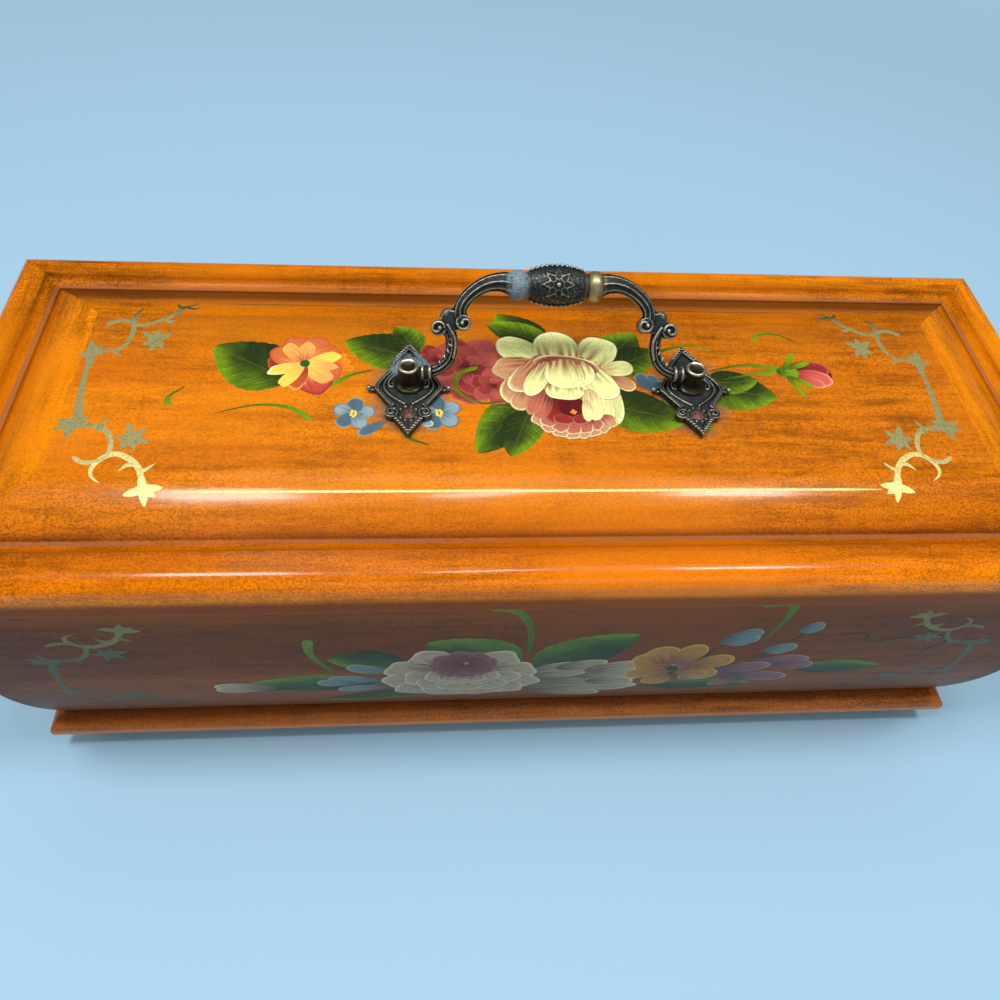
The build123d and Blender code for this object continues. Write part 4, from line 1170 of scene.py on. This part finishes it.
def add_bead(mesh, centre, radii, axes=None, detail=2):
    """A small rounded bead; radii may differ along three axes."""
    bead = bmesh.ops.create_icosphere(mesh, subdivisions=detail, radius=1)
    turn_to = Matrix(axes or (bail_across, bail_up, bail_front)).transposed()
    placed = Matrix.Translation(centre) @ turn_to.to_4x4() @ Matrix.Diagonal((*[r * mm for r in radii], 1))
    bmesh.ops.transform(mesh, matrix=placed, verts=bead["verts"])


def add_ridge(mesh, points, radii, closed=False):
    """A raised line through the points, as a tapering round cord."""
    line = bpy.data.curves.new("ridge", "CURVE")
    line.dimensions = "3D"
    line.bevel_depth = mm
    line.bevel_resolution = 2
    line.use_fill_caps = True
    line.resolution_u = 4
    spline = line.splines.new("NURBS")
    spline.points.add(len(points) - 1)
    for index, point in enumerate(points):
        share = index / max(1, len(points) - 1)
        spline.points[index].co = (*point, 1)
        spline.points[index].radius = radii[0] + (radii[1] - radii[0]) * share
    spline.order_u = 2 if closed else 3
    spline.use_endpoint_u = not closed
    spline.use_cyclic_u = closed
    holder = bpy.data.objects.new("ridge", line)
    made = bpy.data.meshes.new_from_object(holder)
    mesh.from_mesh(made)
    bpy.data.objects.remove(holder)
    bpy.data.curves.remove(line)
    bpy.data.meshes.remove(made)


def grip_surface(u, v, front):
    """A place on the grip's barrel at a distance along it and above its axis."""
    rise = (grip_radius ** 2 - 0) ** 0.5 - grip_end_radius
    radius = grip_end_radius + rise * (1 - (u / grip_half_length) ** 2)
    return on_bail(u, bail_reach + v, front * math.sqrt(max(radius * radius - v * v, 0)))


def one_casting(name, mesh, voxel, body, material, node, settle=2):
    """The casting's parts run together, softened, and given a value for hollow or ridge."""
    data = bpy.data.meshes.new(name)
    mesh.to_mesh(data)
    mesh.free()
    rough = bpy.data.objects.new(name + "_parts", data)
    bpy.context.scene.collection.objects.link(rough)
    fused = rough.modifiers.new("fused", "REMESH")
    fused.mode = "VOXEL"
    fused.voxel_size = voxel * mm
    bpy.context.view_layer.update()
    shape = bpy.data.meshes.new_from_object(rough.evaluated_get(bpy.context.evaluated_depsgraph_get()))
    bpy.data.objects.remove(rough)
    cast = bmesh.new()
    cast.from_mesh(shape)
    for step in range(settle):
        bmesh.ops.smooth_vert(
            cast, verts=cast.verts, factor=0.5, use_axis_x=True, use_axis_y=True, use_axis_z=True,
        )
    for face in cast.faces:
        face.smooth = True
    cast.to_mesh(shape)
    cast.free()
    shape.name = name
    relief_of(shape)
    shape.materials.clear()
    shape.materials.append(material)
    piece = bpy.data.objects.new(name, shape)
    bpy.context.scene.collection.objects.link(piece)
    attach(piece, body)
    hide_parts(node)
    return piece


def relief_of(shape, rounds=14, depth=0.12):
    """Stores how far each point stands above or below the softened surface: 0 hollow, 1 ridge."""
    count = len(shape.vertices)
    places = np.zeros(count * 3)
    normals = np.zeros(count * 3)
    shape.vertices.foreach_get("co", places)
    shape.vertices.foreach_get("normal", normals)
    places, normals = places.reshape(-1, 3), normals.reshape(-1, 3)
    edges = np.zeros(len(shape.edges) * 2, dtype=np.int64)
    shape.edges.foreach_get("vertices", edges)
    edges = edges.reshape(-1, 2)
    ends = np.concatenate([edges[:, 0], edges[:, 1]])
    others = np.concatenate([edges[:, 1], edges[:, 0]])
    weights = np.bincount(ends, minlength=count)[:, None]
    soft = places.copy()
    for step in range(rounds):
        sums_of = np.stack([np.bincount(ends, soft[others, axis], count) for axis in range(3)], 1)
        soft = 0.5 * soft + 0.5 * sums_of / np.maximum(weights, 1)
    stands = ((places - soft) * normals).sum(1) / mm
    relief = np.clip(0.5 + stands / depth * 0.5, 0, 1)
    shape.attributes.new("relief", "FLOAT", "POINT").data.foreach_set("value", relief.astype(np.float32))


def lower_arm_side(share):
    """The outer side of the bail's lower arm, from the low scroll down to the rings."""
    return 33.0 - 1.3 * math.sin(math.pi * (share * 0.8 + 0.2)) + 2.4 * share * share, 11.4 - 8.6 * share


def bail_piece():
    """The bail with its star, beads, scroll ridges and gadroons."""
    mesh = merged_copy("bail_handle")
    for front in (-1, 1):
        for points, outer, inner, radius, spin in ((8, 4.8, 2.7, 0.27, 0.0), (8, 2.3, 1.3, 0.17, 22.5)):
            line = []
            for index in range(points * 2):
                reach = outer if index % 2 == 0 else inner
                u, v = turned(reach, 0, spin + index * 180 / points)
                line.append(grip_surface(u, v, front))
            add_ridge(mesh, line, (radius, radius), closed=True)
        add_bead(mesh, grip_surface(0, 0, front), (0.85, 0.85, 0.7))
    for side in (-1, 1):
        for index in range(11):
            u = (index - 5) * 1.52
            v = side * (grip_radius + 0.1 - 0.0235 * u * u)
            add_bead(mesh, on_bail(u, bail_reach + v, 0.8), (0.66, 0.72, 0.8))
    for way in (-1, 1):
        for front in (-1, 1):
            lift = 1.75 * front
            add_ridge(
                mesh,
                [on_bail(way * u, v, lift) for u, v in ((31.4, 4.2), (30.4, 7.6), (31.0, 11.4), (33.2, 14.4))],
                (0.35, 0.55),
            )
            for index in range(6):
                share = index / 5
                u, v = lower_arm_side(share)
                centre = on_bail(way * u, v, 1.15 * front)
                tilt = math.radians(30 + 45 * share) * way
                along = bail_across * math.cos(tilt) + bail_up * math.sin(tilt)
                add_bead(mesh, centre, (1.0, 0.42, 0.7), (along, bail_front.cross(along), bail_front))
    left_knuckle = tuple(on_bail(-11.9, bail_reach, 0))
    right_knuckle = tuple(on_bail(11.9, bail_reach, 0))
    band = (3.3 * mm, 9 * mm, 9 * mm)
    finish = antique_casting("antique_brass_bail", ((left_knuckle, band),), ((right_knuckle, band),), True)
    return one_casting("cast_bail", mesh, 0.2, "bail", finish, "bail_handle")


def plate_piece(side):
    """One plate with its ribbed tips, inner line, scroll eyes and beads."""
    node = f"handle_plate_{side}"
    mesh = merged_copy(node)
    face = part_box(node)[1].z
    x = post_x[side]
    flat = (Vector((1, 0, 0)), Vector((0, 1, 0)), Vector((0, 0, 1)))

    def at(u, v, w=0.0):
        return Vector((x + u * mm, v * mm, face + w * mm))

    for way in (-1, 1):
        for index in range(6):
            share = (index + 0.7) / 6.4
            add_bead(mesh, at(way * 4.1 * (1 - share), 10.6 + 5.8 * share, 0), (0.75, 0.36, 0.4), flat)
            add_bead(mesh, at(way * 4.1 * (1 - share), -14.6 - 5.8 * share, 0), (0.75, 0.36, 0.4), flat)
        eye = [
            at(way * u, v, -0.7) for u,
            v in ((0.9, 7.6), (4.4, 5.4), (7.6, 0.6), (7.7, -2.6), (4.8, -6.2), (1.0, -8.8))
        ]
        add_ridge(mesh, eye, (0.38, 0.38))
        inner = [
            at(way * u, v, -0.75) for u,
            v in ((4.6, 3.4), (6.3, 1.2), (6.2, -1.2), (4.9, -1.8), (4.6, -0.4), (5.3, 0.2))
        ]
        add_ridge(mesh, inner, (0.42, 0.3))
        curl = [(1.5, 2.4), (1.5, 1.2), (1.4, 0.0), (1.2, -1.3), (0.9, -2.6), (0.5, -4.0), (0.2, -5.2)]
        round_eye = [at(way * (5.1 + r * math.cos(a)), -12.4 + r * math.sin(a), 0.05) for r, a in curl]
        add_ridge(mesh, round_eye, (0.36, 0.3))
        add_bead(mesh, at(way * 12.3, -1.8, -0.7), (0.95, 0.95, 0.8), flat)
    for index in range(10):
        heading = math.radians(36 * index)
        add_bead(
            mesh, at(2.9 * math.cos(heading), -12.4 + 2.9 * math.sin(heading), -0.8),
            (0.36, 0.36, 0.36), flat, 1,
        )
    bloom = (((x + 0.5 * mm, 6.0 * mm, face), (6.5 * mm, 6.5 * mm, 6 * mm)),) if side == "left" else ()
    finish = antique_casting(f"antique_brass_{side}_plate", bloom=bloom)
    return one_casting(f"cast_plate_{side}", mesh, 0.17, "lid", finish, node)


# Assembly

def dress_wood():
    """Gives every wooden node its lacquer."""
    finishes = {"lid_panel": panel_lacquer(), "floor_panel": flat_black()}
    for side in ("front", "back", "left", "right"):
        finishes[f"lid_rail_{side}"] = lid_rail_lacquer(side)
        finishes[f"wall_{side}"] = case_lacquer(side)
        finishes[f"plinth_{side}"] = plinth_lacquer(side)
    return finishes


def dress_hardware():
    """Gives the hinges, screws, posts and feet their finishes."""
    brass = plain_metal("hinge_brass", paint(204, 164, 84), paint(140, 104, 48))
    steel = plain_metal("screw_steel", paint(188, 184, 172), paint(112, 108, 100), 0.3)
    rubber = foot_rubber()
    finishes = {
        "hinge_case_screws": steel, "hinge_lid_screws": steel, "foot_screws": steel,
        "handle_screws": steel,
    }
    for side in ("left", "right"):
        for part in ("case_leaf", "lid_leaf", "pin"):
            finishes[f"hinge_{side}_{part}"] = brass
        finishes[f"foot_front_{side}"] = rubber
        finishes[f"foot_back_{side}"] = rubber
    finishes["plate_pins"] = rusty_pin()
    for side in ("left", "right"):
        finishes[f"handle_post_{side}"] = post_bronze(side)
    return finishes


def post_bronze(side):
    """The posts: dark bronze, rubbed on the rim of the dished top."""
    material, tree, shader = new_finish(f"bronze_{side}_post", 0.36, 0.9)
    place, axes = place_axes(tree)
    mottle = cloud(tree, place, 500.0, (1, 1, 1), 4.0)
    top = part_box(f"handle_post_{side}")[1].z
    from_axis = put(tree, "ShaderNodeVectorMath", {0: place, 1: (post_x[side], 0, 0)}, operation="SUBTRACT")
    flat = put(tree, "ShaderNodeVectorMath", {0: from_axis.outputs[0], 1: (1, 1, 0)}, operation="MULTIPLY")
    radius = put(tree, "ShaderNodeVectorMath", {0: flat.outputs[0]}, operation="LENGTH").outputs["Value"]
    rim = times(
        tree, fade(tree, radius, 1.9 * mm, 2.6 * mm),
        fade(tree, axes[2], top - 0.9 * mm, top - 0.2 * mm),
    )
    dark = blend(tree, mottle, paint(34, 33, 30), paint(96, 88, 66))
    tree.links.new(
        blend(tree, times(tree, rim, 0.85), dark, paint(206, 200, 176)), shader.inputs["Base Color"],
    )
    raised(tree, shader, mottle, 0.2, 0.0002)
    return material


def set_finishes():
    """Puts the finishes on the frame's nodes."""
    for name, material in {**dress_wood(), **dress_hardware()}.items():
        data = nodes[name].data
        data.materials.clear()
        data.materials.append(material)


def studio():
    """A pale floor, soft overhead lamps and an even surround."""
    surround_tone = (166, 201, 222)
    scene = bpy.context.scene
    scene.view_settings.view_transform = "Standard"
    floor_mesh = bmesh.new()
    bmesh.ops.create_grid(floor_mesh, x_segments=1, y_segments=1, size=6)
    data = bpy.data.meshes.new("studio_floor")
    floor_mesh.to_mesh(data)
    floor_mesh.free()
    floor = bpy.data.objects.new("studio_floor", data)
    scene.collection.objects.link(floor)
    material, tree, shader = new_finish("pale_floor", 0.6)
    shader.inputs["Base Color"].default_value = (*paint(162, 200, 224), 1)
    shader.inputs["Specular IOR Level"].default_value = 0.2
    place = place_axes(tree)[0]
    away = put(tree, "ShaderNodeVectorMath", {0: place}, operation="LENGTH").outputs["Value"]
    backdrop = put(tree, "ShaderNodeEmission", {"Color": (*paint(*surround_tone), 1), "Strength": 1.0})
    seen_far = times(
        tree, fade(tree, away, 0.4, 1.1), put(tree, "ShaderNodeLightPath").outputs["Is Camera Ray"],
    )
    spread = put(tree, "ShaderNodeMixShader", {0: seen_far, 1: shader.outputs[0], 2: backdrop.outputs[0]})
    tree.links.new(spread.outputs[0], tree.nodes["Material Output"].inputs["Surface"])
    data.materials.append(material)

    world = bpy.data.worlds.new("surround")
    scene.world = world
    world.use_nodes = True
    tree = world.node_tree
    even = tree.nodes["Background"]
    even.inputs["Color"].default_value = (*paint(222, 222, 222), 1)
    even.inputs["Strength"].default_value = 0.46
    seen = put(tree, "ShaderNodeBackground", {"Color": (*paint(*surround_tone), 1), "Strength": 1.0})
    mirrored = put(tree, "ShaderNodeBackground", {"Color": (*paint(206, 208, 212), 1), "Strength": 0.1})
    rays = put(tree, "ShaderNodeLightPath")
    shiny = put(
        tree, "ShaderNodeMixShader",
        {0: rays.outputs["Is Glossy Ray"], 1: even.outputs[0], 2: mirrored.outputs[0]},
    )
    whole = put(
        tree, "ShaderNodeMixShader",
        {0: rays.outputs["Is Camera Ray"], 1: shiny.outputs[0], 2: seen.outputs[0]},
    )
    tree.links.new(whole.outputs[0], tree.nodes["World Output"].inputs["Surface"])

    lamps = (
        ("overhead_left", (-0.38, -0.06, 1.25), (0.3, 0.22), 6.2, (-0.06, -0.02, 0.13)),
        ("overhead_middle", (0.06, -0.06, 1.25), (0.26, 0.1), 2.0, (0, -0.02, 0.13)),
        ("overhead_right", (0.5, -0.06, 1.25), (0.22, 0.2), 4.8, (0.06, -0.02, 0.13)),
        ("overhead_far", (0.1, 0.34, 1.2), (1.1, 0.3), 1.5, (0, 0.02, 0.13)),
        ("soft_left", (-1.3, -0.1, 0.9), (0.8, 0.8), 2.6, (0, 0, 0.1)),
        ("soft_front", (0.3, -1.5, 0.8), (1.4, 0.8), 3.4, (0, 0, 0.08)),
    )
    for name, place, size, power, aim in lamps:
        light = bpy.data.lights.new(name, "AREA")
        light.shape = "RECTANGLE"
        light.size, light.size_y = size
        light.energy = power
        lamp = bpy.data.objects.new(name, light)
        lamp.location = place
        lamp.rotation_euler = (Vector(aim) - Vector(place)).to_track_quat("-Z", "Y").to_euler()
        scene.collection.objects.link(lamp)


def photograph_camera():
    """The camera at the photograph's angle, close above the front left of the lid."""
    yaw, pitch, roll = (math.radians(angle) for angle in (-8.43, 53.99, 6.56))
    right = Vector((math.cos(yaw), math.sin(yaw), 0))
    ahead = Vector((-math.sin(yaw) * math.cos(pitch), math.cos(yaw) * math.cos(pitch), -math.sin(pitch)))
    above = right.cross(ahead)
    across = right * math.cos(roll) + above * math.sin(roll)
    upward = above * math.cos(roll) - right * math.sin(roll)
    data = bpy.data.cameras.new("photograph")
    data.sensor_width = 36
    data.lens = 28.27
    data.clip_start, data.clip_end = 0.01, 30
    camera = bpy.data.objects.new("photograph", data)
    turn_to = Matrix((across, upward, -ahead)).transposed().to_4x4()
    camera.matrix_world = Matrix.Translation((-0.03295, -0.17357, 0.31056)) @ turn_to
    bpy.context.scene.collection.objects.link(camera)
    bpy.context.scene.camera = camera


set_finishes()
oil_paint = painted_ornament()
gilt = gold_paint()
lid_wood = ["lid_panel"] + [f"lid_rail_{side}" for side in ("front", "back", "left", "right")]
across, down = Vector((1, 0, 0)), Vector((0, 0, -1))
laid_on(
    "lid_gold_scrolls", lid_gold(), lid_wood, across, Vector((0, 1, 0)), down, "lid", gilt,
)
laid_on(
    "lid_flower_spray", lid_spray(), lid_wood, across, Vector((0, 1, 0)), down, "lid", oil_paint,
)
inward = Vector((0, 1, 0))
laid_on(
    "front_gold_scrolls", front_gold(), ["wall_front"], across, Vector((0, 0, 1)), inward, "case",
    gilt,
)
laid_on(
    "front_flower_spray", front_spray(), ["wall_front"], across, Vector((0, 0, 1)), inward, "case",
    oil_paint,
)
bail_piece()
for side in ("left", "right"):
    plate_piece(side)
studio()
photograph_camera()
